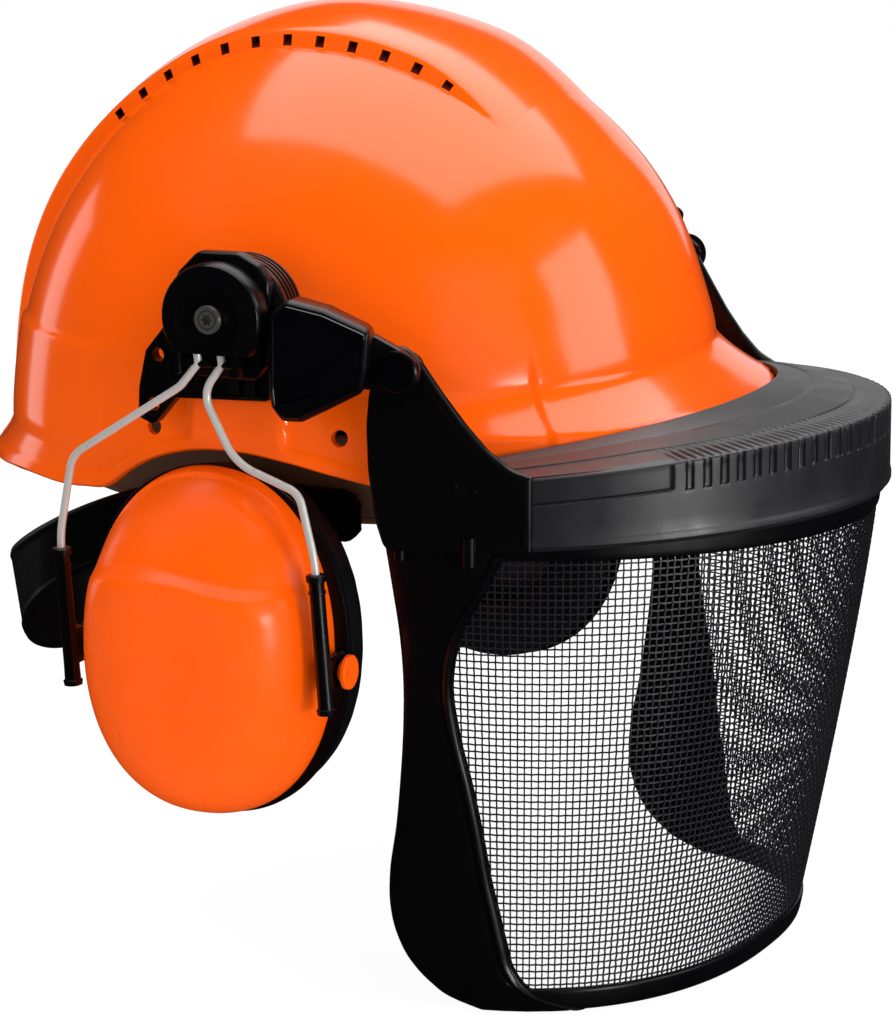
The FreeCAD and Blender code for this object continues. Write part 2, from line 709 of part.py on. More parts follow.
def make_cup(side):
    name = SIDE_NAMES[side]
    wall = size("cup_wall")
    hollow = cup_form(wall)
    cup = cup_form(0.0).cut(hollow)
    feature("cup_%s" % name, biggest(sided(cup, side)))
    base = flat_ring(size("base_in"), size("base_out"), size("base_half_length"),
                     size("base_half_height"), 27.0, 38.0)
    feature("cup_base_%s" % name, biggest(sided(base, side)))
    make_cushion(side)
    foam = Part.Face(closed_wire(ellipse_points(33.0, 44.0, size("cup_y"), size("cup_z"),
                                                size("base_out") + 0.2, CUP_POWER)))
    foam = foam.extrude(Vector(16.0, 0, 0))
    feature("foam_%s" % name, sided(foam, side))
    for place, end in (("front", -1), ("rear", 1)):
        make_button(side, place, end)
        make_sleeve(side, place, end)


def make_button(side, place, end):
    """The pivot stub on the cup's flank with its round cap."""
    name = "%s_%s" % (place, SIDE_NAMES[side])
    flank = size("cup_y") + end * (size("cup_half_length") - 1.2)
    axis = Vector(0, end, 0)
    x, z = side * size("tilt_x"), size("tilt_z")
    reach = size("leg_y") + 3.4
    stub = Part.makeCylinder(3.0, reach - end * flank, Vector(x, flank, z), axis)
    cap = Part.makeCylinder(5.4, 1.5, Vector(x, end * reach, z), axis)
    cap = cap.makeFillet(0.6, [e for e in cap.Edges if abs(e.CenterOfMass.y) > reach + 1.4])
    cup_solid = sided(cup_form(0.05), side)
    feature("pivot_button_%s" % name, biggest(stub.cut(cup_solid).fuse(cap)))


def make_sleeve(side, place, end):
    """The tube that slides on a wire leg, with the eye that carries the cup's pivot stub."""
    name = "%s_%s" % (place, SIDE_NAMES[side])
    radius = size("sleeve_radius")
    gap = size("running_gap")
    slope = size("leg_slope")
    along = Vector(0, slope, 1)
    along.normalize()
    low, high = -66.5, -22.5
    x = size("leg_x")
    foot = Vector(x, leg_place(end, low), low)
    length = (high - low) * math.hypot(1, slope)
    tube = Part.makeCylinder(radius, length, foot, along)
    collar = Part.makeCylinder(radius + 0.6, 2.0, foot + along * (length - 2.0), along)
    end_collar = Part.makeCylinder(radius + 0.5, 2.0, foot, along)
    y = end * size("leg_y")
    eye_low = y - 1.6 if end > 0 else y - 1.4
    eye = Part.makeCylinder(6.0, 3.0, Vector(size("tilt_x"), eye_low, size("tilt_z")), Vector(0, 1, 0))
    arm = Part.makeBox(size("leg_x") - size("tilt_x"), 3.0, 11.0,
                       Vector(size("tilt_x"), eye_low, size("tilt_z") - 5.5))
    body = tube.fuse([collar, end_collar, eye, arm])
    bore = Part.makeCylinder(size("wire_radius") + gap, 2 * length, foot - along * length / 2, along)
    pin_hole = Part.makeCylinder(3.0 + gap, 20, Vector(size("tilt_x"), y - 10, size("tilt_z")),
                                 Vector(0, 1, 0))
    body = body.cut([bore, pin_hole])
    feature("sleeve_%s" % name, biggest(sided(body, side)))


for side in (RIGHT, LEFT):
    make_cup(side)


# ---------------------------------------------------------------- visor
def superellipse_y(half, side_y, front_y, power, count=60):
    """Plan points from the left side, round the front, to the right side."""
    points = []
    for k in range(count + 1):
        turn = math.pi * (0.5 - k / count)
        x = half * signed_power(math.sin(turn), 2 / power)
        y = side_y + (front_y - side_y) * abs(math.cos(turn)) ** (2 / power)
        points.append((x, y))
    return points


def even_points(points, count):
    """The same line with evenly spaced points."""
    lengths = [0.0]
    for (x0, y0), (x1, y1) in zip(points, points[1:]):
        lengths.append(lengths[-1] + math.hypot(x1 - x0, y1 - y0))
    result = []
    for k in range(count):
        target = lengths[-1] * k / (count - 1)
        j = max(i for i in range(len(lengths) - 1) if lengths[i] <= target + 1e-9)
        s = (target - lengths[j]) / (lengths[j + 1] - lengths[j])
        (x0, y0), (x1, y1) = points[j], points[j + 1]
        result.append((x0 + (x1 - x0) * s, y0 + (y1 - y0) * s))
    return result


def in_front(points, y_end):
    """The part of a plan line in front of a place, with both ends exactly there."""
    kept = [p for p in points if p[1] < y_end]
    ends = []
    for (x0, y0), (x1, y1) in zip(points, points[1:]):
        if (y0 - y_end) * (y1 - y_end) < 0:
            ends.append((x0 + (x1 - x0) * (y_end - y0) / (y1 - y0), y_end))
    return [ends[0]] + kept + [ends[-1]]


def inset_points(points, distance):
    """A plan line moved inwards, towards the head. Its two ends move straight across."""
    result = []
    for k, (x, y) in enumerate(points):
        if k in (0, len(points) - 1):
            result.append((x - math.copysign(distance, x), y))
            continue
        x0, y0 = points[max(k - 1, 0)]
        x1, y1 = points[min(k + 1, len(points) - 1)]
        tx, ty = x1 - x0, y1 - y0
        length = math.hypot(tx, ty)
        result.append((x - distance * -ty / length, y - distance * tx / length))
    return result


GUARD_STATIONS = 41
GUARD_REAR = -58.0
BRIM_GAP = 1.8


def guard_lines():
    """The guard's outer line and its inner line along the brim, matched station by station."""
    half = size("guard_half_width")
    outer = superellipse_y(half, size("guard_side"), size("guard_front"), size("guard_power"), 120)
    outer = [(half, GUARD_REAR)] + outer + [(-half, GUARD_REAR)]
    reach = size("shell_front") + size("brim_length") + BRIM_GAP
    width = size("shell_half_width") + size("side_flare") + BRIM_GAP
    inner = in_front(superellipse_y(width, 0.0, -reach, size("plan_power"), 120), GUARD_REAR)
    return even_points(outer, GUARD_STATIONS), even_points(inner, GUARD_STATIONS)


def guard_height(y):
    """Height of the outer top edge, which climbs gently to the front."""
    return 6.6 + 0.1 * max(0.0, -92.0 - y)


def make_guard():
    outer, inner = guard_lines()
    wall = size("guard_wall")
    shallow = inset_points(outer, wall)
    stations = []
    for (xo, yo), (xs, ys), (xi, yi) in zip(outer, shallow, inner):
        top = guard_height(yo)
        rim = 9.0 + 9.5 * max(0.0, (-78.0 - yi) / 54.0)
        floor = -15.5 + 0.04 * max(0.0, -92.0 - yo)
        stations.append([Vector(xo, yo, floor), Vector(xo, yo, top - 1.2),
                         Vector((xo + xs) / 2, (yo + ys) / 2, top),
                         Vector(xi, yi, rim), Vector(xi, yi, rim - wall),
                         Vector(xs, ys, top - wall), Vector(xs, ys, floor)])
    feature("brow_guard", strip(stations, ruled=True))


def make_arm(side):
    """The flat side plate that turns on the knuckle pin and carries the guard."""
    name = SIDE_NAMES[side]
    plate = outline_body("arm_plate_%s" % name, ARM, side, "arm_in", "arm_out", 5.0)
    hole = through_x("arm_hole_%s" % name, size("knuckle_y"), size("knuckle_z"),
                     "sizes.knuckle_radius + sizes.running_gap", side, size("arm_in") - 1,
                     size("arm_out") + 1)
    keep(cut("visor_arm_%s" % name, plate, hole), "visor_arm_%s" % name)


def visor_plan(z):
    """The visor's curved plan at a height, from its left rear edge round to its right."""
    t = max(0.0, (size("frame_top") - z) / (size("frame_top") - size("frame_bottom")))
    half = 106.8 - 9.0 * t
    front = -172.5 + 30.0 * t ** 1.15
    power = 1.87 + 0.43 * t
    side_y = -66.0
    line = superellipse_y(half, side_y, front, power, 120)
    line = [(half, -50.0)] + line + [(-half, -50.0)]
    return line


def plan_x(z, y):
    """Distance from the middle plane of the visor's side at a place."""
    line = [p for p in visor_plan(z) if p[0] > 0]
    for (x0, y0), (x1, y1) in zip(line, line[1:]):
        if y1 <= y <= y0:
            return x0 + (x1 - x0) * (y - y0) / (y1 - y0)
    return line[-1][0]


PANEL_EDGES = ((-17.0, -55.0, -93.0), (-30.0, -57.0, -86.5), (-48.0, -59.4, -76.4), (-66.0, -60.2, -74.6),
               (-84.0, -59.8, -77.4), (-104.0, -58.0, -82.3), (-124.0, -55.2, -86.9),
               (-142.0, -56.8, -91.0), (-154.0, -63.0, -97.0), (-162.0, -73.0, -104.0))


def side_panel():
    """The hourglass side of the frame, drawn on the left."""
    stations = []
    for z, rear, front in PANEL_EDGES:
        outer = []
        for share in (0.0, 0.35, 0.7, 1.0):
            y = rear + (front - rear) * share
            outer.append(Vector(plan_x(z, y), y, z))
        stations.append(outer + [p - Vector(2.6, 0, 0) for p in reversed(outer)])
    return strip(stations)


def rail(z_top, z_low, wall, start_y, count=33, grow=0.0):
    """A rail round the front between two heights."""
    lines = []
    for z in (z_top, z_low):
        lines.append(even_points(in_front(visor_plan(z), start_y), count))
    stations = []
    inner = [inset_points(line, wall) for line in lines]
    outer = [inset_points(line, -grow) for line in lines]
    for k in range(count):
        (x0, y0), (x1, y1) = outer[0][k], outer[1][k]
        (x2, y2), (x3, y3) = inner[1][k], inner[0][k]
        stations.append([Vector(x0, y0, z_top), Vector(x1, y1, z_low),
                         Vector(x2, y2, z_low), Vector(x3, y3, z_top)])
    return strip(stations)


def make_frame():
    panel = side_panel()
    bottom = rail(-155.0, -165.5, 3.4, -84.0, grow=0.3)
    top = rail(-8.0, -19.0, 2.2, -90.0)
    body = panel.fuse([mirror_x(panel), bottom, top])
    feature("visor_frame", biggest(body))


def make_mesh():
    """The woven screen as a thin sheet between the rails."""
    count = 41
    heights = [-18.5 + k * (-156.0 + 18.5) / 6 for k in range(7)]
    outer, inner = [], []
    for z in heights:
        base = even_points(in_front(visor_plan(z), -76.0), count)
        outer.append(inset_points(base, 0.9))
        inner.append(inset_points(base, 0.9 + size("mesh_wall")))
    stations = []
    for k in range(count):
        ring_points = [Vector(outer[j][k][0], outer[j][k][1], heights[j]) for j in range(7)]
        ring_points += [Vector(inner[j][k][0], inner[j][k][1], heights[j]) for j in reversed(range(7))]
        stations.append(ring_points)
    feature("visor_mesh", strip(stations, ruled=True))


def make_studs():
    """Small studs that clip the frame's side panels under the guard's arms."""
    for side in (RIGHT, LEFT):
        for number, y in enumerate((-60.5, -84.0), start=1):
            name = "frame_stud_%d_%s" % (number, SIDE_NAMES[side])
            x = side * 108.3
            stud = Part.makeCylinder(2.2, 9.0, Vector(x, y, -20.0), Vector(0, 0, 1))
            feature(name, stud)


make_guard()
make_arm(RIGHT)
make_arm(LEFT)
make_frame()
make_mesh()
make_studs()


# ---------------------------------------------------------------- checks and export
doc.recompute()
problems = []
for obj in doc.Objects:
    if "Invalid" in obj.State or "Error" in obj.State:
        problems.append("%s is %s" % (obj.Label, obj.State))
for obj in nodes:
    shape = obj.Shape
    if shape.isNull() or not shape.isValid() or len(shape.Solids) != 1:
        count = 0 if shape.isNull() else len(shape.Solids)
        valid = not shape.isNull() and shape.isValid()
        problems.append("%s: %d solids, valid %s" % (obj.Label, count, valid))
if problems:
    raise RuntimeError("; ".join(problems))
os.makedirs("parts", exist_ok=True)
for obj in nodes:
    obj.Shape.exportStep("parts/%s.step" % obj.Label)
    box = obj.Shape.BoundBox
    print("%-24s %9.0f mm3  x %.1f..%.1f  y %.1f..%.1f  z %.1f..%.1f" % (
        obj.Label, obj.Shape.Volume, box.XMin, box.XMax, box.YMin, box.YMax, box.ZMin, box.ZMax))
print(len(nodes), "sub-parts")
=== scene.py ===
"""The look of the forestry hard hat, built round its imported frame.

Lengths are millimetres in the frame's own axes: the visor towards -Y, the wearer's right towards -X, up +Z.
A function draws each piece on the left side or on the middle plane, and add() turns it into a mesh in metres.
"""
import math

import bmesh
import bpy
import numpy as np
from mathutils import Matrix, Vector


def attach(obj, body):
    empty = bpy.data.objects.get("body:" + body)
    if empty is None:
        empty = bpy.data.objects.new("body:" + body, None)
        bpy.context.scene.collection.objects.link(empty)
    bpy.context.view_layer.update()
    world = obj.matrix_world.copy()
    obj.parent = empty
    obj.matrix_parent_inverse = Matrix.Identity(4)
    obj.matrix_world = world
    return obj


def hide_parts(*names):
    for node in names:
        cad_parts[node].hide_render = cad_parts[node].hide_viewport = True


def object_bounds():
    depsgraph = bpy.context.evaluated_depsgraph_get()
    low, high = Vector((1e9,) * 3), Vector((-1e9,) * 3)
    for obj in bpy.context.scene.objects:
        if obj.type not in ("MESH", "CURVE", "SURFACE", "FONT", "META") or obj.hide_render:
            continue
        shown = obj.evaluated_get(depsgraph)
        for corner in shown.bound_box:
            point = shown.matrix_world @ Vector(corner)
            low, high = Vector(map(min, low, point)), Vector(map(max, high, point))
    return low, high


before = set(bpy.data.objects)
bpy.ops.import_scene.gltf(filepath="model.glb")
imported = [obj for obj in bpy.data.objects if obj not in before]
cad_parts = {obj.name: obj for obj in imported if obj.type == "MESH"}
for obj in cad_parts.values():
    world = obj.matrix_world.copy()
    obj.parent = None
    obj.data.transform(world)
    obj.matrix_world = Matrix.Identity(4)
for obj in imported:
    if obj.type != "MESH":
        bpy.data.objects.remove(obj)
CAD_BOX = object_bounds()
MM = 0.001
SIDES = (("right", -1), ("left", 1))
scene = bpy.context.scene


# ---------------------------------------------------------------- camera, floor and light
def look_at(obj, place, target):
    obj.location = place
    obj.rotation_euler = (Vector(target) - Vector(place)).to_track_quat("-Z", "Y").to_euler()


def set_inputs(node, values):
    for socket, value in values.items():
        node.inputs[socket].default_value = value


def make_camera():
    data = bpy.data.cameras.new("camera")
    data.sensor_width, data.lens, data.clip_end = FILM_WIDTH, LENS, 60.0
    camera = bpy.data.objects.new("camera", data)
    scene.collection.objects.link(camera)
    look_at(camera, CAMERA_PLACE, CAMERA_TARGET)
    scene.camera = camera


def softbox(name, place, target, wide, tall, power, mirrored=True):
    """An area light. One that isn't mirrored lights the colours and leaves no highlight."""
    data = bpy.data.lights.new(name, "AREA")
    data.shape = "RECTANGLE"
    data.size, data.size_y = wide, tall
    data.energy = power
    light = bpy.data.objects.new(name, data)
    light.visible_glossy = mirrored
    scene.collection.objects.link(light)
    look_at(light, place, target)


def background(nodes, strength):
    shade = nodes.new("ShaderNodeBackground")
    set_inputs(shade, {"Color": WHITE, "Strength": strength})
    return shade.outputs[0]


def make_world():
    """A white backdrop in a studio whose walls are dark in reflections and light everything else softly."""
    world = bpy.data.worlds.new("studio")
    world.use_nodes = True
    scene.world = world
    nodes, links = world.node_tree.nodes, world.node_tree.links
    nodes.clear()
    path = nodes.new("ShaderNodeLightPath")
    shade = background(nodes, ROOM_LIGHT)
    for ray, strength in (("Is Glossy Ray", ROOM_REFLECTION), ("Is Camera Ray", 1.0)):
        mix = nodes.new("ShaderNodeMixShader")
        links.new(path.outputs[ray], mix.inputs[0])
        links.new(shade, mix.inputs[1])
        links.new(background(nodes, strength), mix.inputs[2])
        shade = mix.outputs[0]
    out = nodes.new("ShaderNodeOutputWorld")
    links.new(shade, out.inputs["Surface"])


def make_floor():
    finish = bpy.data.materials.new("floor_paper")
    finish.use_nodes = True
    set_inputs(finish.node_tree.nodes["Principled BSDF"],
               {"Base Color": (0.12, 0.12, 0.12, 1.0), "Roughness": 1.0, "Specular IOR Level": 0.0,
                "Emission Color": WHITE, "Emission Strength": PAPER_GLOW})
    bpy.ops.mesh.primitive_circle_add(vertices=96, radius=FLOOR_RADIUS, fill_type="NGON")
    floor = bpy.context.object
    floor.name = "floor"
    floor.location.z = CAD_BOX[0].z - FLOOR_GAP
    floor.data.materials.append(finish)
    floor.visible_glossy = False


FILM_WIDTH, LENS = 36.0, 175.96
CAMERA_PLACE, CAMERA_TARGET = (-1.4611, -0.6942, 0.3300), (0.0, -0.0267, -0.0305)
WHITE = (1.0, 1.0, 1.0, 1.0)
ROOM_LIGHT, ROOM_REFLECTION, PAPER_GLOW, FLOOR_RADIUS, FLOOR_GAP = 0.24, 0.01, 0.94, 25.0, 0.0005
CENTRE = (0.0, -0.02, 0.0)
make_camera()
make_world()
make_floor()
scene.view_settings.view_transform = "Standard"
softbox("overhead", (0.50, -0.08, 1.40), (0.25, -0.05, 0.0), 1.70, 1.90, 27.0)
softbox("window", (0.50, -2.20, 0.80), CENTRE, 1.20, 1.20, 13.0)
softbox("front", (-0.85, -1.95, -0.02), CENTRE, 0.50, 0.28, 14.0)
softbox("far_wall", (2.00, 0.60, 0.35), CENTRE, 1.70, 0.70, 3.0)
softbox("top_fill", (-0.40, 0.90, 1.50), CENTRE, 1.20, 1.20, 9.0, mirrored=False)
softbox("rear_window", (0.60, 2.30, 0.15), CENTRE, 0.60, 1.10, 2.5)
softbox("key", (-1.20, -1.70, 0.90), CENTRE, 1.20, 1.20, 14.0, mirrored=False)
softbox("side_fill", (-1.80, 0.50, 0.50), CENTRE, 1.20, 1.20, 6.5, mirrored=False)
softbox("far_fill", (1.90, -0.40, 0.90), CENTRE, 1.20, 1.20, 5.0, mirrored=False)


# ---------------------------------------------------------------- finishes
def texture_noise(nodes, links, coordinate, scale, detail=3.0):
    noise = nodes.new("ShaderNodeTexNoise")
    set_inputs(noise, {"Scale": scale, "Detail": detail})
    links.new(coordinate, noise.inputs["Vector"])
    return noise.outputs["Fac"]


def ramp_between(nodes, links, value, low, high):
    span = nodes.new("ShaderNodeMapRange")
    set_inputs(span, {"From Min": 0.3, "From Max": 0.7, "To Min": low, "To Max": high})
    links.new(value, span.inputs["Value"])
    return span.outputs["Result"]


def plastic(name, colour, roughness, grain=900.0, depth=0.00002, mottle=0.05, metallic=0.0, coat=0.0,
            height=None, strength=0.35, sheen=0.0, specular=0.5):
    """A moulded finish: colour and gloss that vary a little, and a fine surface grain."""
    finish = bpy.data.materials.new(name)
    finish.use_nodes = True
    nodes, links = finish.node_tree.nodes, finish.node_tree.links
    shader = nodes["Principled BSDF"]
    set_inputs(shader, {"Metallic": metallic, "Coat Weight": coat, "Coat Roughness": 0.08,
                        "Sheen Weight": sheen, "Specular IOR Level": specular})
    place = nodes.new("ShaderNodeTexCoord").outputs["Object"]
    broad = texture_noise(nodes, links, place, 22.0)
    mix = nodes.new("ShaderNodeMix")
    mix.data_type = "RGBA"
    set_inputs(mix, {"A": [c * (1 - mottle) for c in colour] + [1.0],
                     "B": [min(1.0, c * (1 + mottle)) for c in colour] + [1.0]})
    links.new(ramp_between(nodes, links, broad, 0.0, 1.0), mix.inputs["Factor"])
    links.new(mix.outputs["Result"], shader.inputs["Base Color"])
    patchy = texture_noise(nodes, links, place, 90.0, 5.0)
    rough = ramp_between(nodes, links, patchy, roughness * 0.85, roughness * 1.15)
    links.new(rough, shader.inputs["Roughness"])
    bump = nodes.new("ShaderNodeBump")
    set_inputs(bump, {"Strength": strength, "Distance": depth})
    source = height(nodes, links, place) if height else texture_noise(nodes, links, place, grain)
    links.new(source, bump.inputs["Height"])
    links.new(bump.outputs["Normal"], shader.inputs["Normal"])
    return finish


def webbing_height(nodes, links, place):
    """Ribs of a woven strap: two sets of fine waves laid across each other."""
    total = None
    for direction in ("X", "Y"):
        wave = nodes.new("ShaderNodeTexWave")
        wave.bands_direction = direction
        set_inputs(wave, {"Scale": 260.0, "Distortion": 0.6})
        links.new(place, wave.inputs["Vector"])
        if total is None:
            total = wave.outputs["Fac"]
            continue
        join = nodes.new("ShaderNodeMath")
        join.operation = "MULTIPLY"
        links.new(total, join.inputs[0])
        links.new(wave.outputs["Fac"], join.inputs[1])
        total = join.outputs["Value"]
    return total


def leather_height(nodes, links, place):
    """The pebbled grain of a leatherette skin."""
    cells = nodes.new("ShaderNodeTexVoronoi")
    cells.feature = "DISTANCE_TO_EDGE"
    set_inputs(cells, {"Scale": 620.0})
    links.new(place, cells.inputs["Vector"])
    return ramp_between(nodes, links, cells.outputs["Distance"], 0.0, 1.0)


def drawn_height(nodes, links, place):
    """Fine draw lines along a steel wire."""
    stretch = nodes.new("ShaderNodeMapping")
    set_inputs(stretch, {"Scale": (1.0, 1.0, 0.05)})
    links.new(place, stretch.inputs["Vector"])
    return texture_noise(nodes, links, stretch.outputs["Vector"], 2600.0)


ORANGE = plastic("shell_orange", (0.95, 0.104, 0.0012), 0.15, 1400.0, 0.000012, 0.03, coat=0.15)
CUP_ORANGE = plastic("cup_orange", (0.95, 0.098, 0.0009), 0.26, 1500.0, 0.00003, 0.03, specular=0.2)
# Dark red for the faces inside the crest's vent pockets: painted shade for the dark recesses.
VENT_PAINTED_SHADE = plastic("vent_painted_shade", (0.10, 0.010, 0.003), 0.7, 800.0, 0.00002, 0.1, specular=0.1)
BLACK = plastic("black_plastic", (0.0011, 0.0011, 0.0016), 0.30, 1300.0, 0.00003, 0.1, specular=0.35)
SATIN_BLACK = plastic("satin_black", (0.0009, 0.0009, 0.0013), 0.42, 1500.0, 0.00004, 0.12, specular=0.25)
# Black lifted and tinted brown for the ribbed drum: a painted brownish highlight on black plastic.
DRUM_PAINTED_HIGHLIGHT = plastic("drum_black_painted_highlight", (0.0050, 0.0042, 0.0036), 0.30, 1300.0, 0.00003, 0.1, specular=0.6)
GLOSS_BLACK = plastic("gloss_black", (0.0009, 0.0009, 0.0016), 0.18, 900.0, 0.00001, 0.1, coat=0.15)
GUARD_GREY = plastic("guard_grey", (0.0085, 0.0083, 0.0105), 0.40, 1900.0, 0.00006, 0.07, strength=0.5,
                     specular=0.7)
BAND_TAN = plastic("band_tan", (0.13, 0.075, 0.032), 0.48, 1200.0, 0.00003, 0.07)
WEBBING = plastic("webbing", (0.012, 0.012, 0.014), 0.8, depth=0.00025, mottle=0.2, height=webbing_height,
                  strength=0.8, sheen=0.25)
FOAM = plastic("foam", (0.02, 0.02, 0.023), 0.9, 2100.0, 0.0003, 0.15, strength=0.7, sheen=0.1)
SWEAT_FOAM = plastic("sweatband_cloth", (0.014, 0.013, 0.013), 0.85, 1600.0, 0.0002, 0.15, strength=0.7,
                     sheen=0.2)
SKIN = plastic("cushion_skin", (0.0035, 0.0035, 0.0042), 0.36, depth=0.00012, mottle=0.12,
               height=leather_height, strength=0.6, specular=0.4)
STEEL = plastic("drawn_steel", (0.56, 0.535, 0.50), 0.30, depth=0.00002, mottle=0.06, metallic=0.35,
                height=drawn_height)
SCREW_STEEL = plastic("screw_steel", (0.085, 0.080, 0.070), 0.34, 1100.0, 0.00003, 0.3, metallic=0.5)
MESH_BLACK = plastic("mesh_wire_black", (0.010, 0.010, 0.013), 0.32, 3000.0, 0.00002, 0.15, specular=0.7)


# ---------------------------------------------------------------- mesh helpers
def smooth(low, high, value):
    """0 at low, 1 at high, easing between; low may be the larger."""
    t = np.clip((value - low) / (high - low), 0.0, 1.0)
    return t * t * (3 - 2 * t)


def signed_power(value, power):
    return np.sign(value) * np.abs(value) ** power


def full_turn(count):
    """Evenly spaced angles once round."""
    return np.linspace(0, 2 * math.pi, count, endpoint=False)


def hermite(places, values, at):
    """A smooth curve through values at rising places."""
    slopes = np.gradient(values, places)
    k = np.clip(np.searchsorted(places, at) - 1, 0, len(places) - 2)
    span = places[k + 1] - places[k]
    t = np.clip((at - places[k]) / span, 0, 1)
    first = (2 * t ** 3 - 3 * t ** 2 + 1) * values[k] + (t ** 3 - 2 * t ** 2 + t) * span * slopes[k]
    second = (3 * t ** 2 - 2 * t ** 3) * values[k + 1] + (t ** 3 - t ** 2) * span * slopes[k + 1]
    return first + second


def add(name, part, finish, body, stands_for=(), sharp=38.0, side=1):
    """A closed mesh piece, smooth except at its sharp edges, that rides on a body; side -1 mirrors it."""
    verts, faces = part
    verts = np.asarray(verts, float) * MM * (side, 1, 1)
    mesh = bpy.data.meshes.new(name)
    mesh.from_pydata(verts.tolist(), [], [[int(i) for i in f] for f in faces])
    form = bmesh.new()
    form.from_mesh(mesh)
    bmesh.ops.remove_doubles(form, verts=form.verts, dist=1e-6)
    bmesh.ops.recalc_face_normals(form, faces=form.faces)
    form.to_mesh(mesh)
    form.free()
    mesh.polygons.foreach_set("use_smooth", np.ones(len(mesh.polygons), bool))
    mesh.set_sharp_from_angle(angle=math.radians(sharp))
    mesh.materials.append(finish)
    obj = bpy.data.objects.new(name, mesh)
    scene.collection.objects.link(obj)
    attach(obj, body)
    if stands_for:
        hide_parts(*stands_for)
    return obj


def add_side(shape, name, side, part, node="", sharp=38.0, finish=BLACK, body="helmet"):
    """A piece of one side, whose names end in the side's, as does its body's where that moves with a muff."""
    body = body + name if body.endswith("_") else body
    return add(shape + name, part, finish, body, [node + name] if node else (), sharp, side)


def grid_faces(rows, columns):
    """Quads over a grid of points stored row by row, whose last column joins the first."""
    j, i = np.meshgrid(np.arange(rows - 1), np.arange(columns), indexing="ij")
    n = (i + 1) % columns
    quads = np.stack([j * columns + i, j * columns + n, (j + 1) * columns + n, (j + 1) * columns + i], -1)
    return quads.reshape(-1, 4).tolist()


def loft(rings, closed=False):
    """A solid through rings with equal point counts, capped unless it closes on itself."""
    rings = np.asarray(rings, float)
    count, around = rings.shape[:2]
    if closed:
        rings = np.concatenate([rings, rings[:1]])
        return rings.reshape(-1, 3), grid_faces(count + 1, around)
    faces = grid_faces(count, around)
    faces.append(list(range(around)))
    faces.append(list(range((count - 1) * around, count * around)))
    return rings.reshape(-1, 3), faces


def rounded_outline(corners, radius, steps=7):
    """A closed outline in Y and Z with round corners; radius is one number or one for each corner."""
    points = []
    count = len(corners)
    for k in range(count):
        before, corner, after = (np.array(corners[(k + d) % count], float) for d in (-1, 0, 1))
        a, b = before - corner, after - corner
        room = 0.46 * min(np.linalg.norm(a), np.linalg.norm(b))
        a, b = a / np.linalg.norm(a), b / np.linalg.norm(b)
        half = math.acos(np.clip(a @ b, -1, 1)) / 2
        size = radius[k] if hasattr(radius, "__len__") else radius
        run = min(room, size / math.tan(half))
        start, stop = corner + a * run, corner + b * run
        for s in np.linspace(0, 1, steps):
            points.append((1 - s) ** 2 * start + 2 * s * (1 - s) * corner + s * s * stop)
    return np.array(points)


def inset(outline, distance):
    """The outline moved inwards by a distance."""
    ahead = np.roll(outline, -1, 0) - np.roll(outline, 1, 0)
    normal = np.stack([ahead[:, 1], -ahead[:, 0]], 1)
    normal /= np.linalg.norm(normal, axis=1)[:, None] + 1e-12
    y, z = outline.T
    area = np.sum(y * np.roll(z, -1) - np.roll(y, -1) * z)
    return outline - normal * distance * np.sign(area)


def ring_at(x, y, z):
    """Points at one distance from the middle plane."""
    return np.column_stack([np.broadcast_to(x, len(y)), y, z])


def plate(outline, profile):
    """A solid across X: each profile pair is a distance from the middle plane and an inset."""
    return loft([ring_at(x, *inset(outline, depth).T) for x, depth in profile])


def bevelled(near, far, edge=0.7):
    """A plate's profile with rounded edges."""
    return [(near, edge), (near + 0.3 * edge, 0.3 * edge), (near + edge, 0.0), (far - edge, 0.0),
            (far - 0.3 * edge, 0.3 * edge), (far, edge)]


def from_base(base, steps, size=0.0):
    """A profile whose distances count from a base and whose insets or radii count from a size."""
    return [(base + x, size + r) for x, r in steps]


def turned(profile, y, z, around=72):
    """A solid turned about an X axis; each profile pair is a distance from the middle plane and a radius."""
    turn = full_turn(around)
    return loft([ring_at(x, y + r * np.cos(turn), z + r * np.sin(turn)) for x, r in profile])


def rod_across(x, z, steps, around):
    """A solid turned about a Y axis; each step is a place along Y and a radius."""
    turn = full_turn(around)
    return loft([np.column_stack([x + r * np.cos(turn), np.full(around, y), z + r * np.sin(turn)])
                 for y, r in steps])


def merged(*parts):
    """Several vertex and face lists as one."""
    verts, faces = [], []
    start = 0
    for part_verts, part_faces in parts:
        verts.append(np.asarray(part_verts, float))
        faces += [[i + start for i in f] for f in part_faces]
        start += len(part_verts)
    return np.concatenate(verts), faces


def tube(points, radius, around=16):
    """A round rod along points, with its ends closed. radius is one number or one for each point."""
    points = np.asarray(points, float)
    along = np.gradient(points, axis=0)
    along /= np.linalg.norm(along, axis=1)[:, None]
    normal = np.cross(along[0], (0.31, 0.17, 0.93))
    rings = []
    radii = np.broadcast_to(radius, len(points))
    turn = full_turn(around)
    for point, direction, size in zip(points, along, radii):
        normal = normal - direction * (normal @ direction)
        normal /= np.linalg.norm(normal)
        other = np.cross(direction, normal)
        rings.append(point + size * (np.outer(np.cos(turn), normal) + np.outer(np.sin(turn), other)))
    return loft(rings)


def box(low, high, edge=0.5):
    """A block with bevelled edges, as a loft across X."""
    (x0, y0, z0), (x1, y1, z1) = low, high
    outline = rounded_outline(((y0, z0), (y1, z0), (y1, z1), (y0, z1)), edge, 4)
    return plate(outline, bevelled(x0, x1, edge))


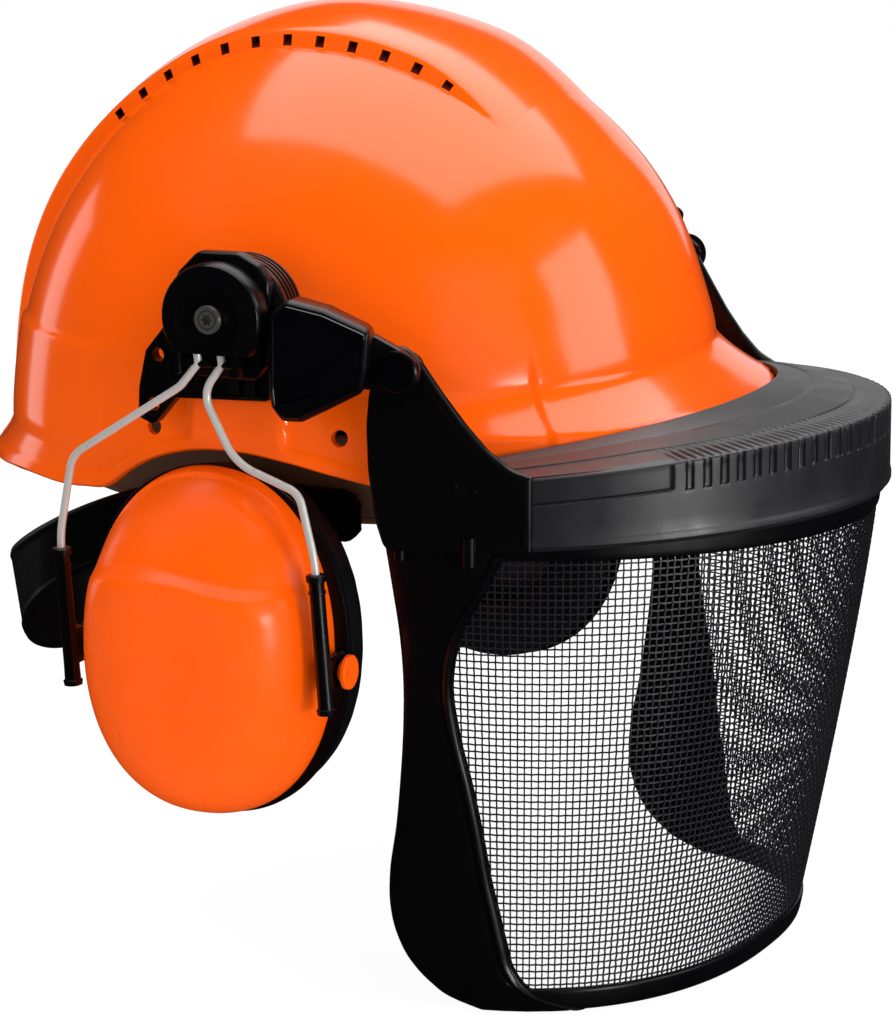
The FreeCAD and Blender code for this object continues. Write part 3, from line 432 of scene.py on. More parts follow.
def bored(obj, side, *cutters):
    """Cuts solids drawn on the left out of a piece of either side and keeps the result as its mesh."""
    verts, faces = merged(*cutters)
    data = bpy.data.meshes.new("cutter")
    data.from_pydata((verts * MM * (side, 1, 1)).tolist(), [], faces)
    tool = bpy.data.objects.new("cutter", data)
    scene.collection.objects.link(tool)
    form = bmesh.new()
    form.from_mesh(data)
    bmesh.ops.recalc_face_normals(form, faces=form.faces)
    form.to_mesh(data)
    form.free()
    change = obj.modifiers.new("bore", "BOOLEAN")
    change.operation = "DIFFERENCE"
    change.solver = "EXACT"
    change.object = tool
    bpy.context.view_layer.update()
    final = bpy.data.meshes.new_from_object(obj.evaluated_get(bpy.context.evaluated_depsgraph_get()))
    obj.modifiers.clear()
    obj.data = final
    bpy.data.objects.remove(tool)


def mirror_points(part):
    """The same solid on the right side."""
    verts, faces = part
    return np.asarray(verts, float) * (-1, 1, 1), faces


# ---------------------------------------------------------------- shell
SHELL_HEIGHT, HALF_WIDTH, FRONT_REACH, REAR_REACH, WALL = 134.0, 106.0, 112.6, 116.8, 2.8
SIDE_POWER, FRONT_POWER, REAR_POWER, PLAN_POWER, DOME_ROOT = 2.42, 2.75, 2.1, 2.14, 1.72
APEX_SHIFT, APEX_ROUNDING = 8.0, 0.12
BRIM, LIP, SIDE_FLARE = (29.0, 14.0, 20.4), (1.0, 11.0, 7.0), (26.0, 20.0, 1.5)
RIM = np.array(((170, -12.5), (110, -12.2), (88, -9.9), (56, -9.0), (43, -6.6), (35.5, -1.4), (28, 2.9),
                (14, 7.6), (-5, 8.8), (-22, 6.6), (-38, 3.2), (-52, 0.5), (-74, 2.5), (-100, 9.0),
                (-120, 13.2), (-131, 15.0), (-170, 16.5)), float)[::-1]
SIDE_HOLES = ((-37.6, 14.6), (25.9, 13.4))
SIDE_HOLE_RADIUS = 2.65


def rim_height(y):
    """Height of the rim line: a smooth curve through its turning points."""
    return hermite(*RIM.T, y)


def shrink(z, power):
    """Share of the dome's plan that is left at a height, rounded off at the crown."""
    soft = APEX_ROUNDING

    def share(k):
        return np.sqrt(np.maximum((k + soft ** DOME_ROOT) ** (2 / DOME_ROOT) - soft * soft, 0))

    return share(1 - np.clip(z / SHELL_HEIGHT, 0, 1) ** power) / share(1.0)


def flare(z, start, depth, amount):
    return amount * np.clip((start - z) / depth, 0.0, 1.0) ** 1.6


def dome_extents(z):
    half = HALF_WIDTH * shrink(z, SIDE_POWER) + flare(z, *SIDE_FLARE)
    front = FRONT_REACH * shrink(z, FRONT_POWER) + flare(z, *BRIM)
    rear = REAR_REACH * shrink(z, REAR_POWER) + flare(z, *LIP)
    return half, front, rear, APEX_SHIFT * np.clip(z / SHELL_HEIGHT, 0, 1) ** 2


def dome_point(turn, z):
    half, front, rear, shift = dome_extents(z)
    across, along = np.cos(turn), np.sin(turn)
    x = half * signed_power(across, 2 / PLAN_POWER)
    y = shift + np.where(along > 0, rear, front) * signed_power(along, 2 / PLAN_POWER)
    return x, y


def inside_dome(x, y, z):
    half, front, rear, shift = dome_extents(z)
    reach = np.where(y > shift, rear, front)
    across, along = np.abs(x) / (half + 1e-9), np.abs(y - shift) / (reach + 1e-9)
    return (across ** PLAN_POWER + along ** PLAN_POWER < 1) & (z < SHELL_HEIGHT)


def grid_normals(points):
    """Outward normals of a wrapped grid whose rows climb and whose columns turn from +X towards +Y."""
    around = np.roll(points, -1, 1) - np.roll(points, 1, 1)
    up = np.gradient(points, axis=0)
    normal = np.cross(around, up)
    length = np.linalg.norm(normal, axis=2, keepdims=True)
    return normal / np.maximum(length, 1e-9)


def shell_relief(x, y, z, above):
    """How far the outer face stands out from the plain dome: rim flange, slot boss and moulded panels."""
    side_zone = smooth(-62, -48, y)
    relief = (0.35 + 1.0 * side_zone) * smooth(4.6, 2.6, above)
    boss = smooth(-21.5, -19.5, y) * smooth(13.0, 11.0, y) * smooth(27.5, 25.0, z)
    relief += 2.3 * boss * smooth(2.0, 5.5, above)
    relief += 1.3 * smooth(46.5, 48.8, y) * smooth(37.0, 33.5, z) * smooth(1.5, 6.0, above)
    bearing = np.degrees(np.arctan2(np.abs(x), -y))
    relief += 1.2 * smooth(38.6, 37.2, bearing) * smooth(50.0, 30.0, z) * (y < 0)
    return relief


def make_shell():
    columns, rows = 640, 190
    turn = full_turn(columns)
    rim = np.zeros(columns)
    for _ in range(30):
        rim = 0.5 * rim + 0.5 * rim_height(dome_point(turn, rim)[1])
    climb = np.sin(np.linspace(0, math.pi / 2, rows))[:-1, None]
    z = rim + climb * (SHELL_HEIGHT - rim)
    x, y = dome_point(turn[None, :], z)
    base = np.stack([x, y, z], 2)
    normal = grid_normals(base)
    above = z - rim_height(y)
    outer = base + normal * shell_relief(x, y, z, above)[..., None]
    inner = base - normal * WALL
    ease = np.array((0.18, 0.5, 0.82))[:, None, None]
    edge = outer[:1] * (1 - ease) + inner[:1] * ease
    edge[:, :, 2] -= np.array((0.55, 0.8, 0.55))[:, None]
    skin = loft(np.concatenate([outer[::-1], edge, inner]))
    obj = add("shell_skin", skin, ORANGE, "helmet", ["shell"], 50.0)
    cutters = []
    for hole_y, hole_z in SIDE_HOLES:
        hole = turned([(85.0, SIDE_HOLE_RADIUS), (125.0, SIDE_HOLE_RADIUS)], hole_y, hole_z, 40)
        cutters += [hole, mirror_points(hole)]
    bored(obj, 1, *cutters)


CREST_HALF, CREST_FOOT, CREST_FRONT = 35.0, -20.4, 143.0
VENT_COUNT, VENT_FIRST, VENT_LAST, VENT_HALF, VENT_DEPTH = 12, 47.0, 121.0, 0.85, 5.0
CREST_CENTRE, CREST_ROOT = (8.0, 30.0), -1.6


def dome_hit(x, angle):
    """Where rays in a plane of constant X leave the dome, from the crest's centre line."""
    low, high = np.zeros_like(x + angle), np.full_like(x + angle, 170.0)
    for _ in range(46):
        reach = (low + high) / 2
        y = CREST_CENTRE[0] + reach * np.cos(angle)
        z = CREST_CENTRE[1] + reach * np.sin(angle)
        hit = inside_dome(x, y, z)
        low, high = np.where(hit, reach, low), np.where(hit, high, reach)
    return low


def crest_rise(degrees):
    """Height of the crest's edge and of its middle over the dome, at a turn about its centre line."""
    z = CREST_CENTRE[1] + dome_hit(np.zeros(1), math.radians(degrees))[0] * math.sin(math.radians(degrees))
    hump = 2.1 * math.sin(math.pi * max(z, 0.0) / SHELL_HEIGHT) ** 2 if degrees < 90 else 0.0
    present = float(smooth(142.0, 112.0, degrees))
    flat = 1.5 * float(smooth(45.0, 80.0, degrees))
    edge = -0.9 + (3.3 + flat + hump + 0.9) * present
    return edge, min(edge, -0.9 + (2.75 + hump + 0.9) * present)


def make_crest():
    """The raised band over the crown, with a row of vent pockets in each of its side walls, whose faces are
    painted dark red as shade.
    """
    vents = np.linspace(VENT_FIRST, VENT_LAST, VENT_COUNT)
    stations = [(a, False) for a in np.linspace(CREST_FOOT, CREST_FRONT, 150)
                if np.min(np.abs(vents - a)) > VENT_HALF + 0.25]
    for vent in vents:
        for offset, open_here in ((-VENT_HALF - 0.04, False), (-VENT_HALF, True), (0.0, True),
                                  (VENT_HALF, True), (VENT_HALF + 0.04, False)):
            stations.append((vent + offset, open_here))
    stations.sort()
    rings = []
    across_top = np.linspace(-1, 1, 25)
    for degrees, open_here in stations:
        angle = math.radians(degrees)
        rise, middle = crest_rise(degrees)
        wall = [(2.4, CREST_ROOT), (1.5, 0.02 * rise), (1.2, 0.10 * rise), (1.15, 0.12 * rise),
                (0.4, 0.74 * rise), (0.36, 0.76 * rise), (-0.15, 0.96 * rise), (-1.0, rise)]
        if open_here:
            wall[3], wall[4] = (-VENT_DEPTH, 0.12 * rise), (-VENT_DEPTH, 0.74 * rise)
        xs = [CREST_HALF + d for d, _ in wall] + list((CREST_HALF - 2.6) * across_top[::-1])
        lifts = [h for _, h in wall] + [rise - (rise - middle) * (1 - t * t) for t in across_top]
        xs += [-x for x in xs[len(wall) - 1::-1]]
        lifts += lifts[len(wall) - 1::-1]
        xs += [-0.5 * CREST_HALF, 0.0, 0.5 * CREST_HALF]
        lifts += 3 * [CREST_ROOT]
        xs, lifts = np.array(xs), np.array(lifts)
        reach = dome_hit(xs, angle) + lifts
        rings.append(np.column_stack([xs, CREST_CENTRE[0] + reach * math.cos(angle),
                                      CREST_CENTRE[1] + reach * math.sin(angle)]))
    obj = add("shell_crest", loft(rings), ORANGE, "helmet", ["shell"], 42.0)
    # The faces at the pocket floors take the dark red finish: painted shade inside the vents.
    obj.data.materials.append(VENT_PAINTED_SHADE)
    pocket_x = (CREST_HALF - VENT_DEPTH) * MM
    for face in obj.data.polygons:
        if any(abs(abs(obj.data.vertices[i].co.x) - pocket_x) < 0.0001 for i in face.vertices):
            face.material_index = 1


make_shell()
make_crest()


# ---------------------------------------------------------------- suspension
BAND_HALF_WIDTH, BAND_HALF_LENGTH, BAND_CENTRE, BAND_WALL = 79.0, 99.0, 4.0, 1.8
BAND_LOW, BAND_HIGH, PAD_REACH = -19.0, 9.0, 1.36


def band_ring(x_half, y_half, z, turns):
    return np.column_stack([x_half * np.sin(turns), BAND_CENTRE - y_half * np.cos(turns),
                            np.full(len(turns), z)])


def make_headband():
    """An oval band with a stiffening bead along each edge and rows of slots at the sides and rear."""
    columns = 360
    turns = full_turn(columns)
    levels = [(0.0, BAND_LOW), (-0.5, BAND_LOW + 0.4), (-0.5, BAND_LOW + 1.8), (0.0, BAND_LOW + 2.4),
              (0.0, -13.0), (0.0, -9.5), (0.0, -5.0), (0.0, -1.5), (0.0, 3.0), (0.0, BAND_HIGH - 2.4),
              (-0.5, BAND_HIGH - 1.8), (-0.5, BAND_HIGH - 0.4), (0.0, BAND_HIGH)]
    outer = [band_ring(BAND_HALF_WIDTH - 0.5 - d, BAND_HALF_LENGTH - 0.5 - d, z, turns) for d, z in levels]
    inner = [band_ring(BAND_HALF_WIDTH - BAND_WALL, BAND_HALF_LENGTH - BAND_WALL, z, turns)
             for _, z in levels]
    rows, shift = len(levels), len(levels) * columns
    verts = np.concatenate(outer + inner)

    def is_open(row, column):
        in_slot = 3 <= column % 12 <= 7 and 30 < abs(column - columns // 2) < 62
        return not 0 <= row < rows - 1 or (row in (4, 6) and in_slot)

    faces = []
    for k, quad in enumerate(grid_faces(rows, columns)):
        row, column = divmod(k, columns)
        if is_open(row, column):
            continue
        faces += [quad, [i + shift for i in quad]]
        beside = ((row - 1, column), (row, (column + 1) % columns), (row + 1, column),
                  (row, (column - 1) % columns))
        faces += [[a, b, b + shift, a + shift]
                  for a, b, place in zip(quad, quad[1:] + quad[:1], beside) if is_open(*place)]
    add("headband_shape", (verts, faces), BAND_TAN, "helmet", ["headband"])


def make_sweatband():
    """The soft pad over the brow: a puffed strip with a stitched channel near each edge."""
    rings = []
    for turn in np.linspace(-PAD_REACH, PAD_REACH, 150):
        end = float(smooth(PAD_REACH, PAD_REACH - 0.09, abs(turn)))
        ring = []
        for a in full_turn(40):
            height = 12.6 * signed_power(np.sin(a), 0.55)
            thick = 1.6 * signed_power(np.cos(a), 0.7)
            channel = 0.55 * math.exp(-((abs(height) - 9.3) / 0.9) ** 2) * (thick > 0)
            puff = 0.25 * math.sin(38 * turn) * (abs(height) < 8) * (thick > 0)
            depth = BAND_WALL + 2.0 + (thick - channel + puff) * (0.35 + 0.65 * end)
            x = (BAND_HALF_WIDTH - depth) * math.sin(turn)
            y = BAND_CENTRE - (BAND_HALF_LENGTH - depth) * math.cos(turn)
            ring.append((x, y, -5.0 + height * (0.8 + 0.2 * end)))
        rings.append(ring)
    obj = add("sweatband_pad", loft(rings), SWEAT_FOAM, "helmet", ["sweatband"])


STRAPS = ((90.0, 95.0, 0.0), (32.0, 85.5, 1.6), (-32.0, 85.5, 3.2))
STRAP_FOOT, STRAP_CROWN, STRAP_WIDTH, STRAP_WALL = 22.0, 96.0, 20.0, 1.2


def make_crown_straps():
    """Three webbing straps that cross over the crown, each with a folded selvedge along its edges."""
    section = full_turn(32)
    wide = signed_power(np.cos(section), 0.28)
    selvedge = 1.0 - 0.35 * np.exp(-((STRAP_WIDTH / 2 * np.abs(wide) - 8.4) / 0.6) ** 2)
    lift = STRAP_WALL / 2 * (1.0 + signed_power(np.sin(section), 0.7) * selvedge)
    for number, (degrees, reach, level) in enumerate(STRAPS, start=1):
        crown = STRAP_CROWN + level
        cos, sin = math.cos(math.radians(degrees)), math.sin(math.radians(degrees))
        rings = []
        for turn in np.linspace(0.0, math.pi, 96):
            x, z = reach * math.cos(turn), STRAP_FOOT + (crown - STRAP_FOOT) * math.sin(turn)
            nx, nz = math.cos(turn) / reach, math.sin(turn) / (crown - STRAP_FOOT)
            length = math.hypot(nx, nz)
            along, across = x + lift * nx / length, STRAP_WIDTH / 2 * wide
            rings.append(np.column_stack([along * cos - across * sin,
                                          along * sin + across * cos + BAND_CENTRE, z + lift * nz / length]))
        add("crown_webbing_%d" % number, loft(rings), WEBBING, "helmet",
            ["crown_strap_%d" % number])


NAPE_FRONT, NAPE_REAR, NAPE_HALF, NAPE_WALL, NAPE_TURN, NAPE_LEAN = -34.0, 127.0, 81.6, 2.2, 38.0, 9.0


def make_nape_strap():
    """The moulded band round the nape: straight at the temples, deep and leaning at the rear."""
    straight = NAPE_TURN - NAPE_FRONT
    arc = 0.25 * math.pi * (NAPE_HALF + NAPE_REAR - NAPE_TURN)
    rings = []
    for k in np.linspace(-1, 1, 241):
        t = 1 - abs(k)
        run = t * (straight + arc)
        if run < straight:
            x, y, nx, ny = NAPE_HALF, NAPE_FRONT + run, 1.0, 0.0
        else:
            turn = (run - straight) / arc * math.pi / 2
            x, y = NAPE_HALF * math.cos(turn), NAPE_TURN + (NAPE_REAR - NAPE_TURN) * math.sin(turn)
            nx, ny = math.cos(turn) / NAPE_HALF, math.sin(turn) / (NAPE_REAR - NAPE_TURN)
            nx, ny = nx / math.hypot(nx, ny), ny / math.hypot(nx, ny)
        drop = float(smooth(0.2, 1.0, t))
        centre, depth = -15.0 - 58.0 * drop, 17.0 + 20.0 * t * t
        end = float(smooth(0.0, 0.025, t))
        depth *= 0.55 + 0.45 * math.sqrt(end)
        lean = NAPE_LEAN * max(0.0, t - 0.6) / 0.4
        side = 1 if k <= 0 else -1
        ring = []
        for a in full_turn(36):
            height = signed_power(np.sin(a), 0.4)
            thick = 0.5 * NAPE_WALL * signed_power(np.cos(a), 0.5)
            bead = 0.45 * math.exp(-((abs(height) - 0.86) / 0.06) ** 2)
            outward = -NAPE_WALL / 2 + thick * (0.75 + bead) - lean * (1 - height) / 2
            ring.append((side * (x + nx * outward), y + ny * outward, centre + height * depth / 2))
        rings.append(ring)
    add("nape_band", loft(rings), SATIN_BLACK, "nape_support", ["nape_strap"])


make_headband()
make_sweatband()
make_crown_straps()
make_nape_strap()


# ---------------------------------------------------------------- side attachments
PLATE_IN, PLATE_OUT, HOUSING_OUT, DISC_IN, DISC_OUT = 110.5, 116.0, 121.0, 121.3, 130.0
STRIP_IN, STRIP_OUT, LATCH_OUT = 113.9, 117.6, 128.5
PIVOT_Y, PIVOT_Z, DISC_RADIUS, DISC_FLAT = -6.2, 53.9, 17.0, 43.0
SWING_X, SWING_Z = 125.0, 39.2
DRUM_Y, DRUM_Z, DRUM_RADIUS, DRUM_IN = -9.3, 53.8, 17.7, 106.0
KNUCKLE_Y, KNUCKLE_Z, KNUCKLE_RADIUS = -64.3, 40.4, 2.5
LUG_HOLES, LUG_HOLE, LATCH_LEAN = ((18.5, 38.7), (20.3, 23.0)), 2.2, 0.30
BRACKET = ((13.0, 52.0), (17.3, 46.6), (22.7, 39.9), (25.2, 28.0), (25.5, 18.5), (20.0, 16.4),
           (12.4, 25.6), (-20.2, 27.0), (-20.2, 52.0))
HOUSING = ((10.5, 44.0), (11.5, 56.0), (9.0, 66.0), (2.0, 73.0), (-12.0, 73.4), (-18.6, 70.2),
           (-22.6, 65.0), (-22.8, 52.8), (-20.2, 52.8), (-20.2, 38.0), (-18.0, 34.0), (4.0, 34.0))
LATCH = ((-25.3, 34.0), (-25.5, 56.5), (-31.0, 61.4), (-44.3, 59.3), (-60.2, 53.9), (-59.0, 42.0),
         (-57.2, 34.6), (-45.8, 28.6), (-36.2, 23.9), (-29.6, 23.6), (-25.8, 28.0))
LATCH_STRIP = ((-20.6, 36.0), (-20.6, 50.0), (-52.0, 52.5), (-64.3, 47.2), (-70.6, 43.0),
               (-70.6, 36.0), (-64.3, 33.6), (-50.0, 34.0))


def make_bracket(name, side):
    """The plate on the shell: a raised border, two lug holes and ribs behind the disc."""
    profile = from_base(PLATE_OUT, ((-0.7, 0.0), (-0.2, 0.2), (0.0, 0.7), (0.0, 1.5), (-0.8, 1.8)))
    shape = plate(rounded_outline(BRACKET, 2.2), [(PLATE_IN, 0.7), (PLATE_IN + 0.7, 0.0)] + profile)
    obj = add_side("bracket_plate_", name, side, shape, "bracket_")
    bored(obj, side, *(turned([(100.0, LUG_HOLE), (125.0, LUG_HOLE)], y, z, 32) for y, z in LUG_HOLES))
    foot = box((92.0, -19.0, 29.0), (PLATE_IN + 0.5, 7.0, 43.0), 1.0)
    ribs = [box((PLATE_OUT - 1.0, y, 28.6), (PLATE_OUT + 1.2, y + 1.4, 37.4), 0.4)
            for y in (-16.0, -10.5, 2.4, 7.0)]
    add_side("bracket_foot_", name, side, merged(foot, *ribs), "bracket_")
    section = np.linspace(0, 1.75 * math.pi, 8)
    for number, (y, z) in enumerate(LUG_HOLES, start=1):
        reach = LUG_HOLE + 0.55 + 0.5 * np.cos(section)
        rim = loft([ring_at(PLATE_OUT - 0.4 + 0.55 * np.sin(section), y + reach * math.cos(a),
                            z + reach * math.sin(a)) for a in full_turn(32)], True)
        add_side("lug_rim_%d_" % number, name, side, rim)


def make_housing(name, side):
    """The hood behind the disc, and the ribbed drum between it and the shell, in black lifted to brown as a
    painted highlight.
    """
    profile = from_base(PLATE_OUT, ((0.0, 0.5), (0.4, 0.0), (3.2, 0.0)))
    profile += from_base(HOUSING_OUT, ((-0.9, 0.15), (-0.3, 0.6), (0.0, 1.3)))
    hood = plate(rounded_outline(HOUSING, 4.0, 9), profile)
    add_side("housing_hood_", name, side, hood, "housing_")
    profile = from_base(DRUM_IN, ((0.0, -1.0), (0.5, 0.0)), DRUM_RADIUS)
    for x in np.arange(DRUM_IN + 1.4, PLATE_OUT - 0.6, 2.1):
        profile += from_base(x, ((0.0, 0.0), (0.35, -0.7), (0.95, -0.7), (1.3, 0.0)), DRUM_RADIUS)
    profile += from_base(PLATE_OUT, ((0.8, 0.0), (1.5, -0.7), (1.7, -1.6)), DRUM_RADIUS)
    drum = turned(profile, DRUM_Y, DRUM_Z, 96)
    add_side("housing_drum_", name, side, drum, "housing_", 30.0, DRUM_PAINTED_HIGHLIGHT)


def make_latch(name, side):
    """The lock block: a deep body whose face has a fine raised border, on a strip with the pin's eye."""
    outline = rounded_outline(LATCH, (4.0, 4.0, 4.0, 6.0, 3.6, 4.0, 3.6, 5.0, 3.0, 3.0, 2.5), 9)
    profile = from_base(STRIP_OUT, ((0.0, 0.3), (0.5, 0.0)))
    profile += from_base(LATCH_OUT, ((-3.2, 0.0), (-2.0, 0.35), (-1.2, 1.0), (-1.0, 1.35)))
    strip = plate(rounded_outline(LATCH_STRIP, 4.0), bevelled(STRIP_IN, STRIP_OUT, 0.6))
    verts, faces = merged(plate(outline, profile), strip)
    leaning = smooth(-28.0, -58.0, verts[:, 1]) * (verts[:, 0] > STRIP_OUT - 0.1)
    verts[:, 1] += LATCH_LEAN * (LATCH_OUT - verts[:, 0]) * leaning
    obj = add_side("latch_body_", name, side, (verts, faces), "latch_block_")
    bored(obj, side, turned([(x, KNUCKLE_RADIUS) for x in (STRIP_IN - 2.0, STRIP_OUT + 0.5)],
                            KNUCKLE_Y, KNUCKLE_Z, 32))
    face = plate(inset(outline, 1.5), from_base(LATCH_OUT, (
        (-2.0, 0.0), (-0.5, 0.0), (-0.15, 0.12), (0.0, 0.35), (0.0, 0.65), (-0.2, 0.8), (-0.45, 0.9),
        (-0.5, 1.3), (-0.3, 1.9))))
    add_side("latch_face_", name, side, face, "latch_block_", finish=GLOSS_BLACK)
    rings, around = from_base(STRIP_OUT, (
        (-0.4, 6.6), (0.5, 6.6), (0.9, 6.2), (0.9, 5.0), (0.5, 4.7), (0.5, KNUCKLE_RADIUS + 0.3),
        (-0.4, KNUCKLE_RADIUS + 0.3))), 64
    verts, _ = turned(rings, KNUCKLE_Y, KNUCKLE_Z, around)
    last = (len(rings) - 1) * around
    closing = [[a, (a + 1) % around, last + (a + 1) % around, last + a] for a in range(around)]
    eye = verts, grid_faces(len(rings), around) + closing
    add_side("latch_eye_", name, side, eye, "latch_block_")


def make_disc(name, side):
    """The turning disc: a dished face with a rolled edge, cut flat below, and two ears for the yoke."""
    profile = from_base(DISC_IN, ((0.0, -0.5), (0.5, 0.0)), DISC_RADIUS)
    profile += from_base(DISC_OUT, ((-3.4, 0.0), (-2.2, -0.3), (-1.6, -0.8), (-0.45, -4.6), (-0.1, -5.4),
                                    (0.0, -5.9), (-0.25, -6.3), (-1.5, -6.7), (-1.9, -7.4)), DISC_RADIUS)
    profile += from_base(DISC_OUT, ((-1.9, 5.9), (-1.2, 5.6), (-1.0, 5.3), (-1.0, 4.95), (-1.3, 4.75),
                                    (-3.6, 4.7)))
    disc = turned(profile, PIVOT_Y, PIVOT_Z, 128)
    obj = add_side("disc_shape_", name, side, disc, "pivot_disc_", 30.0, body="muff_turntable_")
    flat = box((DISC_IN - 5, PIVOT_Y - 30, DISC_FLAT - 30), (DISC_OUT + 5, PIVOT_Y + 30, DISC_FLAT), 0.1)
    bored(obj, side, flat, turned([(DISC_IN - 3, 2.55), (DISC_OUT, 2.55)], PIVOT_Y, PIVOT_Z, 40))
    obj.data.set_sharp_from_angle(angle=math.radians(30.0))
    for number, low in enumerate((-15.6, 4.4), start=1):
        ear = box((SWING_X - 3.2, low, SWING_Z - 3.4), (SWING_X + 3.2, low + 2.6, SWING_Z + 8.6), 0.8)
        add_side("disc_ear_%d_" % number, name, side, ear, "pivot_disc_", body="muff_turntable_")


def make_screw(name, side):
    """The pivot screw: a steel head with a rounded edge, a ring groove and a six-lobed recess."""
    top = DISC_OUT + 0.4
    profile = [(HOUSING_OUT, 2.4), (DISC_OUT - 1.7, 2.4), (DISC_OUT - 1.7, 4.4)]
    profile += from_base(top, ((-0.5, 4.5), (-0.1, 4.2), (0.0, 3.7), (-0.05, 3.2), (-0.6, 3.0), (-0.6, 2.75),
                               (-0.1, 2.55), (0.0, 2.2)))
    screw = turned(profile, PIVOT_Y, PIVOT_Z, 64)
    obj = add_side("screw_shape_", name, side, screw, "pivot_screw_", 30.0, SCREW_STEEL)
    turn = full_turn(72)
    radius = 1.55 + 0.35 * np.cos(6 * turn)
    bored(obj, side, loft([ring_at(x, PIVOT_Y + radius * np.cos(turn), PIVOT_Z + radius * np.sin(turn))
                           for x in (top - 1.6, top + 1.0)]))


WIRE_RADIUS_LEG, WIRE_TOPS = 1.25, (-8.5, -0.4)
WIRE_HOOK = ((0.9, -1.2), (0.3, -0.3), (0.0, 0.6), (0.2, 2.6), (0.5, 4.6))


def make_yoke(name, side):
    """The slim pivot bar that swings in the disc's ears, with both wires hooked up over it."""
    bar = rod_across(SWING_X, SWING_Z, ((-15.3, 0.9), (-15.0, 1.1), (6.4, 1.1), (6.7, 0.9)), 40)
    add_side("yoke_bar_", name, side, bar, "yoke_", body="muff_arm_")
    for place, y in zip(("front", "rear"), WIRE_TOPS):
        stub = tube([(SWING_X, y + dy, SWING_Z + dz) for dy, dz in WIRE_HOOK], WIRE_RADIUS_LEG, 24)
        add_side("wire_hook_%s_" % place, name, side, stub, "yoke_", 38.0, STEEL, "muff_arm_")


for name, side in SIDES:
    for make in (make_bracket, make_housing, make_latch, make_disc, make_screw, make_yoke):
        make(name, side)


# ---------------------------------------------------------------- ear cups
CUP_Y, CUP_Z, CUP_HALF_LENGTH, CUP_HALF_HEIGHT, CUP_POWER = 1.0, -50.8, 41.2, 55.3, 2.15
BASE_IN, BASE_OUT, BASE_HALF_LENGTH, BASE_HALF_HEIGHT = 109.0, 112.3, 45.3, 55.6
BASE_Y, BASE_RIM, CUSHION_IN, CUSHION_HALF, CUP_DEPTH = CUP_Y - 0.6, 18.0, 94.5, 10.0, 34.1
LEG_X, LEG_Y, LEG_SLOPE, TILT_X, TILT_Z = 128.0, 44.1, 0.08, 118.5, -54.7


def oval(half_length, half_height, turn, power=CUP_POWER):
    """Offsets in Y and Z round a superellipse."""
    return (half_length * signed_power(np.cos(turn), 2 / power),
            half_height * signed_power(np.sin(turn), 2 / power))


def oval_ring(x, y, half_length, half_height, turn, power=CUP_POWER):
    """A ring of an ear cup's piece round its centre at CUP_Z."""
    along, up = oval(half_length, half_height, turn, power)
    return ring_at(x, y + along, CUP_Z + up)


def cup_profile(t):
    """Depth and width shares of the cup from its mouth, t = 0, to the middle of its face, t = 1."""
    angle = t * math.pi / 2
    wide = np.cos(angle) ** 0.50
    tall = np.cos(angle) ** 0.46
    return CUP_DEPTH * np.sin(angle) ** 1.22, wide, tall


def cup_relief(y, z):
    """The set-back above a wavy crease, a shallow blank label field and a round mould mark."""
    crease = -29.5 + 4.6 * np.sin((y + 10.0) / 17.0) - 0.10 * y
    rise = np.maximum(z - crease, 0.0)
    shoulder = -3.4 * smooth(-0.5, 4.0, z - crease) - 0.32 * rise - 0.004 * rise * rise
    swell = 0.6 * np.exp(-((z - crease + 3.5) / 4.5) ** 2)
    field = (np.abs(y + 0.5) / 27.0) ** 3.5 + (np.abs(z + 58.5) / 9.5) ** 3.5
    dent = -0.35 * smooth(1.15, 0.85, field)
    mark = np.hypot(y - 23.8, z + 77.3)
    ring = -0.28 * np.exp(-((mark - 4.4) / 0.7) ** 2) - 0.22 * np.exp(-((mark - 1.6) / 0.7) ** 2)
    return shoulder + swell + dent + ring


def make_cup(name, side):
    around, levels = 320, 110
    turn = full_turn(around)
    rings = []
    for t in np.linspace(0, 0.995, levels):
        depth, wide, tall = cup_profile(t)
        rings.append(oval_ring(BASE_OUT + depth, CUP_Y, CUP_HALF_LENGTH * wide, CUP_HALF_HEIGHT * tall, turn))
    rings = np.array(rings)
    share = smooth(4.0, 12.0, rings[:, :, 0] - BASE_OUT) / CUP_DEPTH
    rings[:, :, 0] += (rings[:, :, 0] - BASE_OUT) * cup_relief(rings[:, :, 1], rings[:, :, 2]) * share
    mouth = [oval_ring(x, CUP_Y, CUP_HALF_LENGTH + grow, CUP_HALF_HEIGHT + grow, turn)
             for x, grow in from_base(BASE_OUT, ((3.2, -2.4), (0.0, -2.4), (0.0, 0.0)))]
    cup = loft(np.concatenate([mouth, rings]))
    add_side("cup_shape_", name, side, cup, "cup_", 38.0, CUP_ORANGE, "ear_cup_")


def make_base(name, side):
    """The black carrier plate between the cup and its cushion, with a lip that grips the cushion."""
    turn = full_turn(160)
    profile = from_base(BASE_IN, ((0.0, -1.0), (0.4, -0.2), (1.2, 0.0), (1.5, -0.6), (1.9, -0.6), (2.2, 0.0)))
    profile += from_base(BASE_OUT, ((-0.7, 0.0), (-0.2, -0.25), (0.0, -0.9), (0.0, -BASE_RIM)))
    rings = [oval_ring(x, BASE_Y, BASE_HALF_LENGTH + grow, BASE_HALF_HEIGHT + grow, turn)
             for x, grow in profile + [(BASE_IN, -BASE_RIM)]]
    add_side("base_plate_", name, side, loft(rings, True), "cup_base_", 38.0, SATIN_BLACK,
             "ear_cup_")


